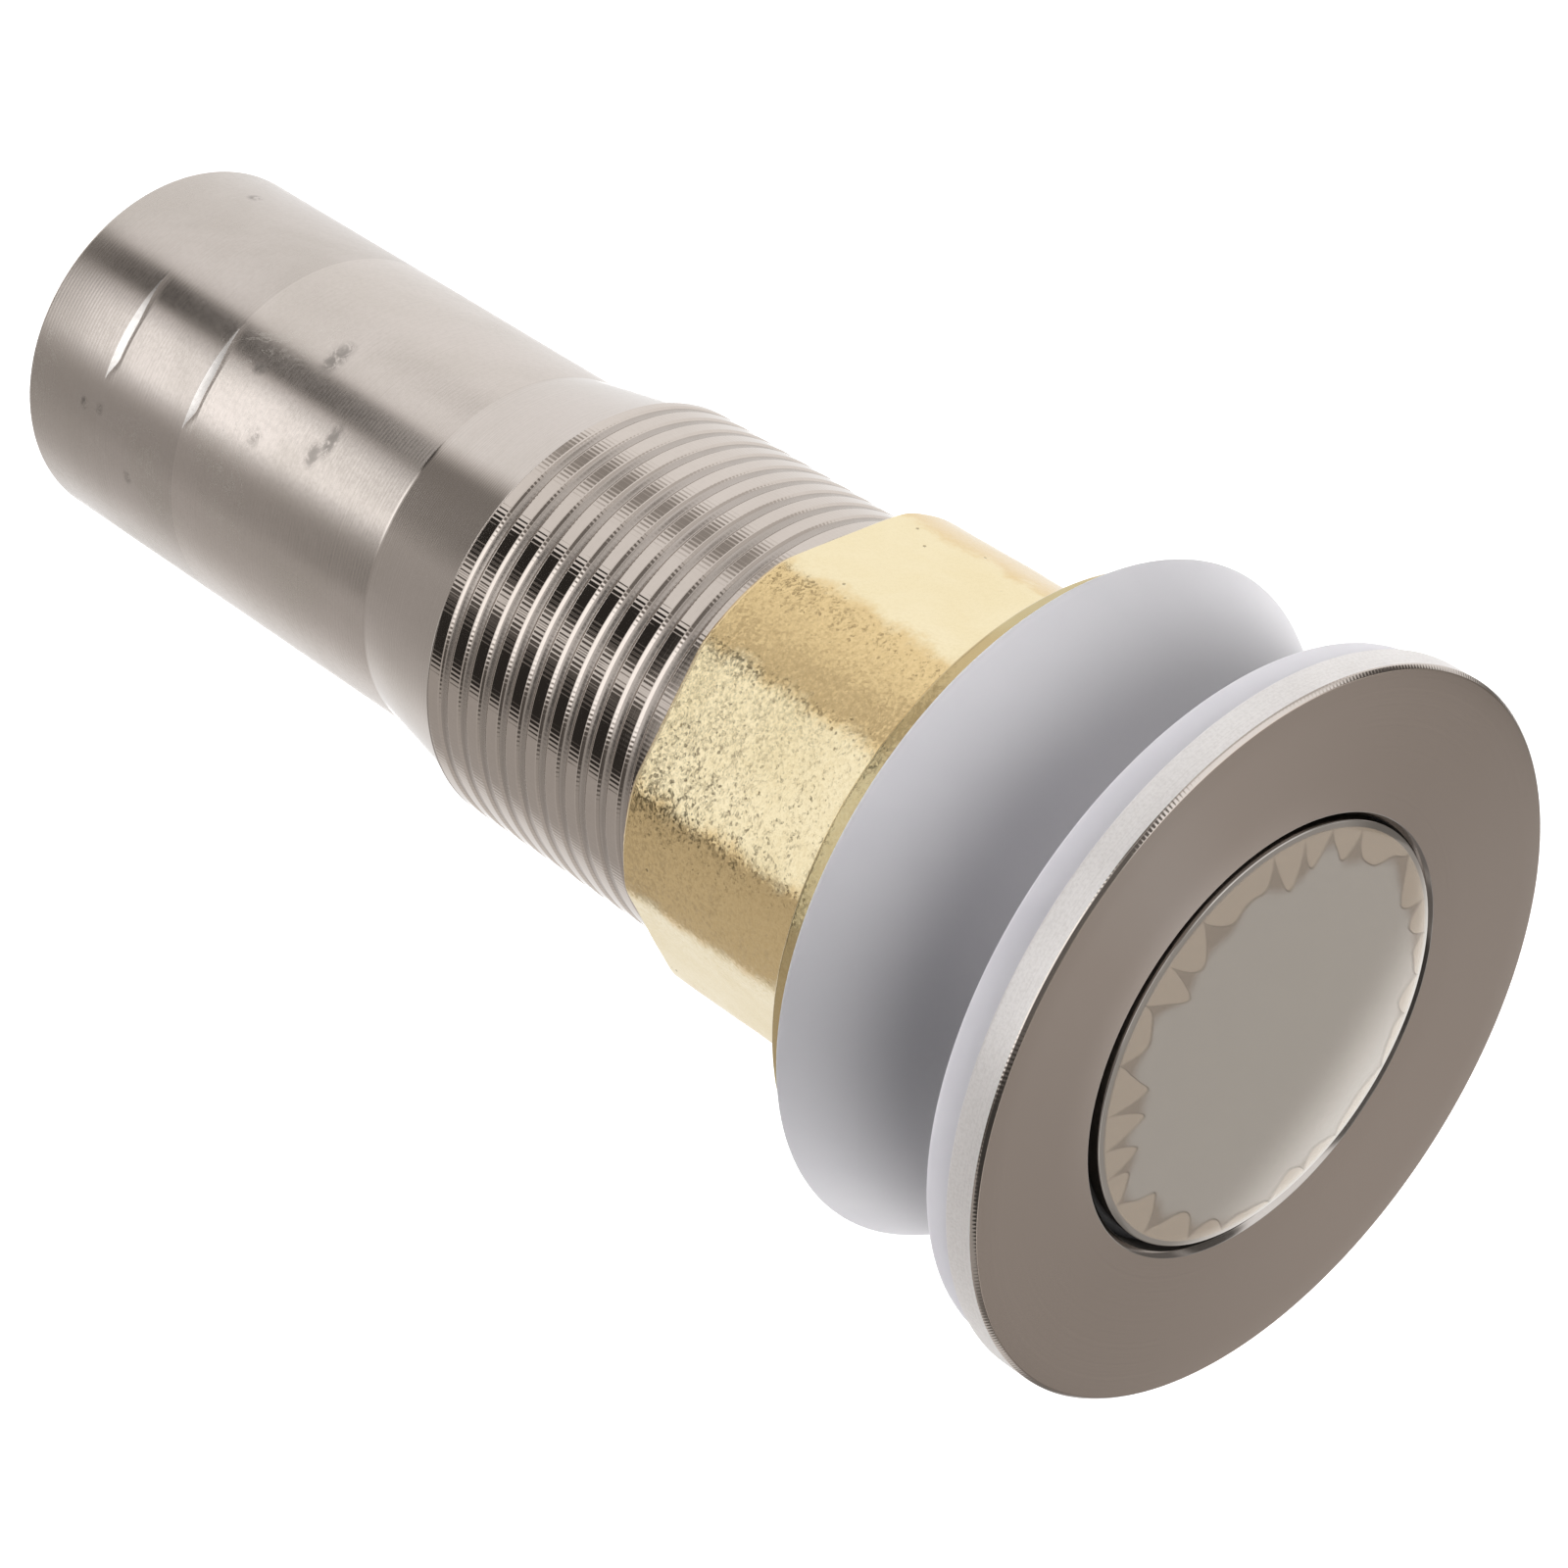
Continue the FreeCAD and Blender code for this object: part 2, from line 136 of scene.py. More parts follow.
def newFinish(name, centre=(0.0, 0.0)):
    # a material with its shader, and the piece's own coordinates split up
    finish, tree = emptyMaterial(name)
    shader = tree.nodes.new("ShaderNodeBsdfPrincipled")
    addNode(tree, "ShaderNodeOutputMaterial", {0: shader.outputs[0]})
    place = tree.nodes.new("ShaderNodeTexCoord").outputs["Object"]
    if any(centre):
        place = vectorCalc(tree, "SUBTRACT", {0: place, 1: (centre[0] * mm, centre[1] * mm, 0)})
    x, y, z = addNode(tree, "ShaderNodeSeparateXYZ", {0: place}).outputs
    squares = calc(tree, "ADD", calc(tree, "MULTIPLY", x, x), calc(tree, "MULTIPLY", y, y))
    part = {"place": place, "x": x, "y": y, "z": z, "radius": calc(tree, "SQRT", squares),
            "angle": calc(tree, "ARCTAN2", y, x)}
    return finish, tree, shader, part


def angleFrom(tree, part, degrees):
    # how far round the axis from a given angle, in radians
    away = calc(tree, "ABSOLUTE", calc(tree, "SUBTRACT", part["angle"], math.radians(degrees)))
    return calc(tree, "MINIMUM", away, calc(tree, "SUBTRACT", 2 * math.pi, away))


def bumpFrom(tree, height):
    return addNode(tree, "ShaderNodeBump", {"Height": height, "Distance": 1.0, "Strength": 1.0}).outputs[0]


def coat(tree, shader, colour, roughness, normal):
    tree.links.new(colour, shader.inputs["Base Color"])
    tree.links.new(roughness, shader.inputs["Roughness"])
    tree.links.new(normal, shader.inputs["Normal"])


def spotMask(tree, place, centre, reach):
    # one soft blotch round a point, with its own reach along each axis
    away = vectorCalc(tree, "SUBTRACT", {0: place, 1: [c * mm for c in centre]})
    scaled = vectorCalc(tree, "MULTIPLY", {0: away, 1: [1 / (r * mm) for r in reach]})
    return ramp(tree, vectorCalc(tree, "LENGTH", {0: scaled}, "Value"), 1.0, 0.25)


def specks(tree, place, scale, size, share):
    # a few small dots, each in its own cell
    cells = addNode(tree, "ShaderNodeTexVoronoi", {"Vector": place, "Scale": scale})
    pick = addNode(tree, "ShaderNodeSeparateColor", {0: cells.outputs["Color"]}).outputs[1]
    return calc(tree, "MULTIPLY", ramp(tree, cells.outputs["Distance"], size, size * 0.5),
                ramp(tree, pick, 1 - share, 1 - share * 0.8))


# The room is white, bright overhead and dim at the camera's level, so the soft parts shade off inwards.
# Reflections see a grey hood overhead. Each pair is where a change starts and ends, as a share of straight up
# or, for dimReach, of straight towards the dim side.
studio = {"ambient": 1.05, "overhead": 2.8, "overheadRise": (0.70, 0.88), "dim": (0.08, 0.085, 0.11),
          "dimTowards": (0.17, -0.98, 0.0), "dimReach": (-0.25, 0.35), "dimFoot": (-0.35, -0.05),
          "dimTop": (0.85, 0.65), "hood": (0.36, 0.33, 0.30), "hoodRise": (0.55, 0.75), "floorDepth": 0.25,
          "floorGlow": 0.35, "floorColour": 0.85, "floorSize": 3.0, "keyPower": 0.4, "keySize": 0.5,
          "keyPlace": (-0.45, -0.20, 0.30)}


def brightRays(tree):
    # 1 for the camera, glossy and transmitted rays, which see the white room as it is
    path = tree.nodes.new("ShaderNodeLightPath")
    total = calc(tree, "ADD", path.outputs["Is Camera Ray"], path.outputs["Is Glossy Ray"])
    return calc(tree, "ADD", total, path.outputs["Is Transmission Ray"], clamp=True)


def makeStudio(look):
    world = bpy.data.worlds.new("whiteRoom")
    scene.world = world
    world.use_nodes = True
    tree = world.node_tree
    tree.nodes.clear()
    way = tree.nodes.new("ShaderNodeTexCoord").outputs["Generated"]
    rise = addNode(tree, "ShaderNodeSeparateXYZ", {0: way}).outputs[2]
    along = vectorCalc(tree, "DOT_PRODUCT", {0: way, 1: look["dimTowards"]}, "Value")
    band = calc(tree, "MULTIPLY", ramp(tree, rise, *look["dimFoot"]), ramp(tree, rise, *look["dimTop"]))
    share = calc(tree, "MULTIPLY", ramp(tree, along, *look["dimReach"]), band)
    tone = blendColour(tree, ramp(tree, rise, *look["overheadRise"]), (look["ambient"],) * 3,
                       (look["overhead"],) * 3)
    soft = addNode(tree, "ShaderNodeBackground", {"Color": blendColour(tree, share, tone, look["dim"])})
    gloss = blendColour(tree, ramp(tree, rise, *look["hoodRise"]), (1, 1, 1), look["hood"])
    mirrored = addNode(tree, "ShaderNodeBackground", {"Color": gloss})
    white = addNode(tree, "ShaderNodeBackground", {"Color": (1, 1, 1, 1)})
    path = tree.nodes.new("ShaderNodeLightPath")
    seen = calc(tree, "ADD", path.outputs["Is Camera Ray"], path.outputs["Is Transmission Ray"], clamp=True)
    mix = addNode(tree, "ShaderNodeMixShader", {0: path.outputs["Is Glossy Ray"], 1: soft.outputs[0],
                                                2: mirrored.outputs[0]})
    mix = addNode(tree, "ShaderNodeMixShader", {0: seen, 1: mix.outputs[0], 2: white.outputs[0]})
    addNode(tree, "ShaderNodeOutputWorld", {0: mix.outputs[0]})

    half = look["floorSize"] / 2
    mesh = bpy.data.meshes.new("paleFloor")
    corners = [(-half, -half, 0), (half, -half, 0), (half, half, 0), (-half, half, 0)]
    mesh.from_pydata(corners, [], [(0, 1, 2, 3)])
    floor = bpy.data.objects.new("paleFloor", mesh)
    floor.location.z = -look["floorDepth"]
    scene.collection.objects.link(floor)
    finish, tree = emptyMaterial("palePaper")
    tint = look["floorColour"]
    paper = addNode(tree, "ShaderNodeBsdfDiffuse", {"Color": (tint, tint, tint, 1)})
    glow = addNode(tree, "ShaderNodeEmission", {"Strength": calc(tree, "MULTIPLY", brightRays(tree),
                                                                 look["floorGlow"])})
    both = addNode(tree, "ShaderNodeAddShader", {0: paper.outputs[0], 1: glow.outputs[0]})
    addNode(tree, "ShaderNodeOutputMaterial", {0: both.outputs[0]})
    mesh.materials.append(finish)

    lamp = bpy.data.lights.new("softKey", "AREA")
    lamp.energy, lamp.size = look["keyPower"], look["keySize"]
    key = bpy.data.objects.new("softKey", lamp)
    key.location = look["keyPlace"]
    key.rotation_mode = "QUATERNION"
    key.rotation_quaternion = (-Vector(look["keyPlace"])).to_track_quat("-Z", "Y")
    scene.collection.objects.link(key)


makeStudio(studio)

# A curved screen round the front of the part, seen only in reflections. It comes down from a canopy, stands
# as a wall and runs in along the floor. Flags and strips lie on it, later ones over earlier ones: each goes
# from one angle to another (degrees from -Y towards +X) with an edge, and from one height to another with an
# edge (metres; past the floor, metres inwards), at one level, where 1 is white.
lightScreen = {"radius": 0.13, "canopy": 0.16, "canopyReach": 0.11, "canopyRise": 0.35, "floor": -0.248,
               "floorReach": 0.10, "from": -160, "to": 160, "stepDegrees": 1.0, "step": 0.003,
               "base": [(-160, 1.00), (-90, 0.97), (-45, 0.97), (-38, 0.90), (30, 0.90), (45, 0.50), (85, 0.46),
                        (105, 0.56), (130, 0.85), (160, 1.0)], "strips": [
    # from, to, edge, low, high, edge, level
    (-80, 105, 30, 0.090, 0.400, 0.04, 0.14),    # canopy over the camera
    (-26, 14, 10, 0.190, 0.400, 0.02, 0.55),     # lamp in the canopy
    (-14, 36, 16, -0.040, 0.070, 0.01, 1.45),    # bright row that the thread's upper flanks see
    (-34, -9, 10, -0.040, 0.070, 0.01, 0.20),
    (-90, -36, 12, -0.040, 0.070, 0.01, 0.62),
    (41, 66, 10, -0.040, 0.070, 0.01, 0.10),
    (66, 110, 12, -0.040, 0.070, 0.01, 0.40),
    (-66, -46, 14, -0.165, -0.128, 0.01, 0.34),  # what the thread's crests see
    (-13, 8, 2, -0.167, -0.126, 0.003, 0.03),
    (8, 35, 3, -0.167, -0.126, 0.003, 0.10),
    (15, 24, 4, -0.167, -0.126, 0.003, 0.80),
    (35, 65, 2, -0.167, -0.126, 0.003, 0.03),
    (65, 116, 10, -0.167, -0.120, 0.003, 0.44),
    (-34, -8, 14, -0.126, -0.085, 0.01, 0.55),   # what the nut sees
    (0, 44, 10, -0.126, -0.085, 0.01, 1.00),
    (58, 112, 20, -0.126, -0.085, 0.01, 0.56),
    (-31, -11, 9, -0.249, -0.170, 0.006, 0.06),  # what the tail sees
    (-2, 30, 12, -0.249, -0.170, 0.006, 1.50),
    (42, 72, 18, -0.249, -0.170, 0.006, 0.38),
    (-34, 38, 20, -0.310, -0.249, 0.006, 0.25),  # what the cone sees
    (24, 80, 30, -0.310, -0.249, 0.006, 0.42),
    (-190, -142, 8, 0.045, 0.500, 0.03, 0.31),   # the grey of the back card goes on
    (142, 190, 8, 0.045, 0.500, 0.03, 0.33),
    (-100, -38, 12, 0.070, 0.250, 0.02, 1.10),   # what the edges round the plug see
    (-30, 44, 12, 0.193, 0.225, 0.006, 0.10),
    (-130, -98, 12, 0.030, 0.120, 0.02, 0.10),
    (-165, -130, 10, -0.020, 0.090, 0.02, 0.16),
    (48, 104, 12, 0.075, 0.200, 0.02, 0.05),
    (104, 130, 12, 0.030, 0.120, 0.02, 0.16),
    (130, 165, 10, -0.020, 0.090, 0.02, 0.20),
    (-40, 40, 20, -0.348, -0.310, 0.02, 0.45)]}  # what the thread's lower flanks see


def levelAt(stops, angle):
    # the screen's level at an angle, in straight steps from stop to stop
    for (start, before), (end, after) in zip(stops, stops[1:]):
        if angle <= end:
            share = max(0.0, min(1.0, (angle - start) / (end - start)))
            return before + (after - before) * share
    return stops[-1][1]


def within(value, low, high, edge):
    # 1 between low and high and 0 outside, with soft edges
    def rise(t):
        t = max(0.0, min(1.0, t))
        return t * t * (3 - 2 * t)
    return rise((value - low) / edge + 0.5) * rise((high - value) / edge + 0.5)


greyWarmth = {"green": 0.08, "blue": 0.15}  # dim levels lose this much more of each than of red


def warmGrey(level):
    shade = max(0.0, 1 - level)
    return (level, level * (1 - greyWarmth["green"] * shade), level * (1 - greyWarmth["blue"] * shade), 1)


def glowingCloth():
    finish, tree = emptyMaterial("screenCloth")
    tone = addNode(tree, "ShaderNodeVertexColor", layer_name="level")
    glow = addNode(tree, "ShaderNodeEmission", {"Color": tone.outputs[0], "Strength": 1.0})
    addNode(tree, "ShaderNodeOutputMaterial", {0: glow.outputs[0]})
    finish.cycles.emission_sampling = "NONE"
    return finish


screenCloth = glowingCloth()


def hangCard(name, verts, levels, columns):
    # a grid of verts, row by row, that only reflections see
    faces = []
    for row in range(len(verts) // columns - 1):
        for column in range(columns - 1):
            a = row * columns + column
            faces.append((a, a + 1, a + columns + 1, a + columns))
    mesh = bpy.data.meshes.new(name)
    mesh.from_pydata(verts, [], faces)
    shade = mesh.color_attributes.new("level", "FLOAT_COLOR", "POINT")
    for index, level in enumerate(levels):
        shade.data[index].color = warmGrey(level)
    mesh.materials.append(screenCloth)
    card = bpy.data.objects.new(name, mesh)
    scene.collection.objects.link(card)
    card.visible_camera = card.visible_shadow = card.visible_diffuse = False


def makeScreen(look):
    columns = int((look["to"] - look["from"]) / look["stepDegrees"]) + 1
    height, end = look["canopy"] + look["canopyReach"], look["floor"] - look["floorReach"]
    verts, levels = [], []
    while height > end:
        over, under = max(0.0, height - look["canopy"]), max(0.0, look["floor"] - height)
        radius = look["radius"] - over - under
        z = height - over * (1 - look["canopyRise"]) + under
        for column in range(columns):
            degrees = look["from"] + column * look["stepDegrees"]
            angle = math.radians(degrees)
            level = levelAt(look["base"], degrees)
            for start, stop, edge, low, high, blur, strip in look["strips"]:
                level += (strip - level) * within(degrees, start, stop, edge) * within(height, low, high, blur)
            verts.append((radius * math.sin(angle), -radius * math.cos(angle), z))
            levels.append(level)
        height -= look["step"]
    hangCard("reflectedScreen", verts, levels, columns)


makeScreen(lightScreen)

# A grey card behind and above, which the flange face and the plug reflect
backCard = {"distance": 0.30, "low": 0.072, "fade": 0.065, "high": 0.42, "halfWidth": 0.26, "level": 0.31,
            "sideLevel": 0.34, "steps": 80, "columns": 9}


def makeBackCard(look):
    verts, levels = [], []
    for step in range(look["steps"] + 1):
        height = look["low"] + (look["high"] - look["low"]) * step / look["steps"]
        share = min(1.0, (height - look["low"]) / look["fade"])
        share = share * share * (3 - 2 * share)
        for column in range(look["columns"]):
            across = 2 * column / (look["columns"] - 1) - 1
            grey = look["level"] + (look["sideLevel"] - look["level"]) * max(0.0, -across)
            verts.append((across * look["halfWidth"], look["distance"], height))
            levels.append(1.0 + (grey - 1.0) * share)
    hangCard("greyCard", verts, levels, look["columns"])


makeBackCard(backCard)
print("studio made")


def addVert(bm, radius, angle, height):
    # sizes are in mm here and turn into metres on the mesh
    return bm.verts.new((radius * mm * math.cos(angle), radius * mm * math.sin(angle), height * mm))


def addRing(bm, radius, height, columns):
    if radius <= 0:
        return [bm.verts.new((0, 0, height * mm))]
    return [addVert(bm, radius, 2 * math.pi * i / columns, height) for i in range(columns)]


def joinRings(bm, first, second, finish):
    columns = max(len(first), len(second))
    for i in range(columns):
        j = (i + 1) % columns
        if len(first) == 1:
            corners = (first[0], second[i], second[j])
        elif len(second) == 1:
            corners = (first[i], second[0], first[j])
        else:
            corners = (first[i], second[i], second[j], first[j])
        face = bm.faces.new(corners)
        face.material_index = finish


def softened(outline, steps=4):
    # an outline of (radius, height, rounding, finish) with each rounding turned into short arcs
    points = []
    count = len(outline)
    for index, (radius, height, rounding, finish) in enumerate(outline):
        here = Vector((radius, height))
        before = Vector(outline[index - 1][:2]) - here
        after = Vector(outline[(index + 1) % count][:2]) - here
        if rounding <= 0:
            points.append((radius, height, finish))
            continue
        reach = min(rounding, before.length * 0.49, after.length * 0.49)
        start, end = here + before.normalized() * reach, here + after.normalized() * reach
        for step in range(steps + 1):
            t = step / steps
            spot = start * (1 - t) ** 2 + here * 2 * t * (1 - t) + end * t ** 2
            points.append((spot.x, spot.y, finish))
    return points


def latheInto(bm, points, columns, closed=True):
    rings = [addRing(bm, radius, height, columns) for radius, height, finish in points]
    last = len(points) if closed else len(points) - 1
    for index in range(last):
        joinRings(bm, rings[index], rings[(index + 1) % len(points)], points[index][2])
    return rings


def makePiece(name, bm, finishes, sharpDegrees=32):
    bmesh.ops.remove_doubles(bm, verts=bm.verts, dist=1e-7)
    bmesh.ops.dissolve_degenerate(bm, edges=bm.edges, dist=1e-7)
    bmesh.ops.recalc_face_normals(bm, faces=bm.faces)
    mesh = bpy.data.meshes.new(name)
    bm.to_mesh(mesh)
    bm.free()
    for finish in finishes:
        mesh.materials.append(finish)
    mesh.shade_smooth()
    mesh.set_sharp_from_angle(angle=math.radians(sharpDegrees))
    piece = bpy.data.objects.new(name, mesh)
    scene.collection.objects.link(piece)
    return piece


# What marks look like on all the metal here; grains and scales are per metre.
metalMarks = {"lineTone": 0.55, "dotScale": 330, "dotSize": 0.05, "dotCover": 0.8,
              "dotColour": (0.10, 0.09, 0.09), "stainGrain": 900, "stainColour": (0.12, 0.11, 0.10),
              "stainRough": 0.2, "wispGrain": 120, "wispPatches": 45, "wispWidth": 0.012,
              "wispColour": (0.85, 0.82, 0.76), "wispRough": 0.25, "chatterPatches": 250,
              "leastChatter": 0.55, "leastRough": 0.03}


def turnedMetal(name, look, marks=metalMarks):
    # plated or bare metal with tool lines round the axis, chatter along it, stains and fine grain
    finish, tree, shader, part = newFinish(name)
    place = part["place"]
    along = calc(tree, "ADD", part["z"], part["radius"])  # runs down a tube and out across a face
    broad = grain(tree, place, look["broad"], 3.0, 0.6, 0.6)
    fine = grain(tree, place, look["fine"], 2.0, 0.5)
    feed = addNode(tree, "ShaderNodeTexNoise", {"W": along, "Scale": 1 / (look["feed"] * mm), "Detail": 2.0,
                                                "Roughness": 0.6}, noise_dimensions="1D").outputs["Fac"]
    colour = blendColour(tree, ramp(tree, broad, 0.35, 0.7), look["colour"], look["tone"])
    speckle = ramp(tree, fine, 0.35, 0.75, 0.0, look["speckle"])
    colour = blendColour(tree, speckle, colour, look["speckColour"])
    feedShade = ramp(tree, feed, 0.3, 0.7, 0.0, look["lineShade"], smooth=False)
    colour = blendColour(tree, feedShade, colour, tuple(c * marks["lineTone"] for c in look["colour"]))
    if look.get("dots"):
        dots = specks(tree, place, marks["dotScale"], marks["dotSize"], look["dots"])
        colour = blendColour(tree, calc(tree, "MULTIPLY", dots, marks["dotCover"]), colour, marks["dotColour"])
    least, most = look["roughness"] - look["spread"], look["roughness"] + look["spread"]
    rough = calc(tree, "ADD", ramp(tree, broad, 0.3, 0.75, least, most),
                 ramp(tree, fine, 0.3, 0.7, -look["spread"] / 2, look["spread"] / 2))
    if look.get("stains"):
        ragged = grain(tree, place, marks["stainGrain"], 4.0, 0.7, 1.0)
        total = 0.0
        for centre, reach, depth in look["stains"]:
            mask = calc(tree, "MULTIPLY", spotMask(tree, place, centre, reach),
                        ramp(tree, ragged, 0.36, 0.58, 0.0, depth))
            total = calc(tree, "MAXIMUM", total, mask)
        colour = blendColour(tree, total, colour, marks["stainColour"])
        rough = plus(tree, rough, total, marks["stainRough"])
    for angle, spread, gain in look.get("fans", []):
        # a faint wedge of painted highlight or painted shade on a turned face, standing in for its brushed
        # sheen
        mask = ramp(tree, angleFrom(tree, part, angle), math.radians(spread), 0.0, 0.0, abs(gain))
        colour = blendColour(tree, mask, colour, (1, 1, 1) if gain > 0 else (0, 0, 0))
    if look.get("residue"):
        wisp = grain(tree, place, marks["wispGrain"], 6.0, 0.65, 3.0)
        ridge = calc(tree, "ABSOLUTE", calc(tree, "SUBTRACT", wisp, 0.5))
        mask = calc(tree, "MULTIPLY", ramp(tree, ridge, marks["wispWidth"], 0.0, 0.0, look["residue"]),
                    ramp(tree, grain(tree, place, marks["wispPatches"], 2.0), 0.5, 0.62))
        colour = blendColour(tree, mask, colour, marks["wispColour"])
        rough = plus(tree, rough, mask, marks["wispRough"])
    height = calc(tree, "MULTIPLY", feed, look["feedDepth"] * mm)
    height = plus(tree, height, fine, look["fineDepth"] * mm)
    if look.get("pitch"):
        wave = calc(tree, "SINE", calc(tree, "MULTIPLY", along, 2 * math.pi / (look["pitch"] * mm)))
        height = plus(tree, height, wave, look["pitchDepth"] * mm)
    if look.get("chatter"):
        wave = calc(tree, "SINE", calc(tree, "MULTIPLY", part["angle"], float(look["chatter"])))
        deepest = look["chatterDepth"] * mm
        amount = ramp(tree, grain(tree, place, marks["chatterPatches"], 2.0), 0.3, 0.7,
                      deepest * marks["leastChatter"], deepest)
        height = plus(tree, height, wave, amount)
    coat(tree, shader, colour, calc(tree, "MAXIMUM", rough, marks["leastRough"]), bumpFrom(tree, height))
    shader.inputs["Metallic"].default_value = look["metallic"]
    if look.get("anisotropy"):
        shader.inputs["Anisotropic"].default_value = look["anisotropy"]
        shader.inputs["Anisotropic Rotation"].default_value = 0.25
        tangent = addNode(tree, "ShaderNodeTangent", direction_type="RADIAL", axis="Z")
        tree.links.new(tangent.outputs[0], shader.inputs["Tangent"])
    return finish


nickel = {"colour": (0.70, 0.635, 0.59), "tone": (0.66, 0.60, 0.55), "speckColour": (0.45, 0.40, 0.36),
          "metallic": 1.0, "broad": 70, "fine": 2500, "speckle": 0.08, "lineShade": 0.12, "roughness": 0.2,
          "spread": 0.04, "feed": 0.12, "feedDepth": 0.0006, "fineDepth": 0.0002}


def plated(name, **changes):
    # the tube's nickel with some of its values changed
    return turnedMetal(name, {**nickel, **changes})


nickelThread = plated("nickelThread", colour=(0.69, 0.62, 0.565), tone=(0.66, 0.59, 0.535), roughness=0.05,
                      spread=0.01, chatter=300, chatterDepth=0.0038, lineShade=0.05, dots=0.02)
nickelGroove = plated("nickelGroove", colour=(0.52, 0.465, 0.425), tone=(0.47, 0.42, 0.38), roughness=0.24,
                      spread=0.05, chatter=300, chatterDepth=0.002, dots=0.02)
nickelCone = plated("nickelCone", roughness=0.13, spread=0.02, pitch=0.31, pitchDepth=0.0010, lineShade=0.25,
                    dots=0.02)
# each stain has its middle, its reach along each axis (mm) and its depth
tailLook = {"roughness": 0.24, "spread": 0.03, "anisotropy": 0.6, "pitch": 0.37, "pitchDepth": 0.0010,
            "residue": 0.5, "dots": 0.02, "stains": [
                ((-5.7, -15.0, -91.4), (2.6, 2, 1.4), 0.55), ((-1.7, -15.9, -97.0), (0.8, 2, 1.1), 0.55),
                ((0.2, -16.0, -86.1), (2.0, 2, 0.9), 0.45), ((1.9, -16.0, -87.0), (1.6, 2, 1.0), 0.40),
                ((3.2, -15.7, -93.6), (1.1, 2, 1.1), 0.3), ((8.5, -13.6, -113.8), (0.7, 1, 0.6), 0.6),
                ((8.2, -13.7, -111.7), (0.7, 1, 0.6), 0.45), ((11.7, -10.9, -107.6), (0.8, 1, 0.8), 0.4),
                ((-13.6, -8.4, -115.2), (0.8, 1, 0.8), 0.5)]}
tailEndShade = {"colour": 0.92, "tone": 0.90}  # the tail's end is a little duller
nickelTail = plated("nickelTail", **tailLook)
nickelEnd = plated("nickelEnd", **tailLook, **{key: tuple(share * c for c in nickel[key])
                                               for key, share in tailEndShade.items()})
# each wedge is painted highlight or painted shade for the turned face's sheen: its angle, its spread (degrees)
# and how much lighter or darker it is
nickelFace = plated("nickelFace", colour=(0.67, 0.58, 0.515), tone=(0.65, 0.56, 0.495), broad=30,
                    roughness=0.20, spread=0.01, anisotropy=0.6, speckle=0.03, lineShade=0.06, feed=0.25,
                    feedDepth=0.0004, fineDepth=0.0001, dots=0.02,
                    fans=[(-102, 20, 0.10), (-60, 45, -0.06), (150, 50, 0.05)])
nickelEdge = plated("nickelEdge", roughness=0.10, spread=0.03, chatter=520, chatterDepth=0.004)
nickelRim = plated("nickelRim", colour=(0.88, 0.845, 0.82), tone=(0.84, 0.805, 0.78), roughness=0.40,
                   spread=0.08, speckColour=(0.50, 0.46, 0.43), speckle=0.20, metallic=0.5, fine=4600,
                   fineDepth=0.0020)
# painted shade: the bore's nickel is darkened to stand in for the shadow inside the tube
nickelBoreShaded = plated("nickelBoreShaded", colour=(0.22, 0.20, 0.18), tone=(0.15, 0.135, 0.12), roughness=0.45,
                    spread=0.1)
nickelWall = plated("nickelWall", colour=(0.60, 0.56, 0.53), tone=(0.56, 0.52, 0.49), roughness=0.12,
                    spread=0.02)
# painted highlight: the ring grooves are real, but their brighter nickel stands in for the glint along them
nickelMarkHighlight = plated("nickelMarkHighlight", colour=(0.93, 0.89, 0.86), tone=(0.90, 0.86, 0.83), roughness=0.26,
                    spread=0.04)
print("nickel finishes made")

# The tube, in mm above the gasket's foot. The two marks near its end run from ringFrom to ringTo degrees and
# fade over ringFade and ringBlunt degrees.
drainTube = {"columns": 288, "flangeRadius": 29.45, "face": 5.6, "faceRings": (27.0, 24.0, 21.0), "dish": 0.5,
             "rimBottom": 2.8, "chamfer": 0.3, "neck": 19.2, "neckBottom": -1.0, "thread": 18.45,
             "threadTop": -1.75, "threadBottom": -65.8, "threadEnd": -66.3, "endStep": 0.5, "tail": 16.0,
             "coneEnd": -76.5, "tailEnd": -121.8, "tailEdge": 0.6, "rings": (-101.0, -111.4), "ringWidth": 1.1,
             "ringDepth": 0.14, "ringMargin": 0.2, "ringFrom": -96, "ringFade": 22, "ringTo": -72,
             "ringBlunt": 9, "ringLeast": 0.1, "outlet": 14.9, "ledge": -42.4, "waterWay": 15.3,
             "plugBore": 17.52, "boreFloor": 1.0, "seatBottom": -1.5, "boreEntry": 0.38, "entryDepth": 0.4}
# One turn of the thread, going up: a wide flat crest, a polished slope down, then a shallow rough groove.
# Shares of the pitch and of the depth.
threadCut = {"pitch": 2.309, "depth": 0.18, "phase": 0.22, "topRunout": 2.4, "bottomRunout": 0.9,
             "polishedTo": 0.58, "polishedFrom": 0.98, "section": [
                 (0.0, 0.0), (0.015, 0.0), (0.24, 0.0), (0.455, 0.0), (0.47, 0.0), (0.48, 0.02), (0.49, 0.06),
                 (0.535, 0.43), (0.58, 0.80), (0.60, 0.93), (0.625, 1.0), (0.73, 1.0), (0.84, 1.0),
                 (0.87, 0.95), (0.925, 0.55), (0.975, 0.12), (0.99, 0.03)]}


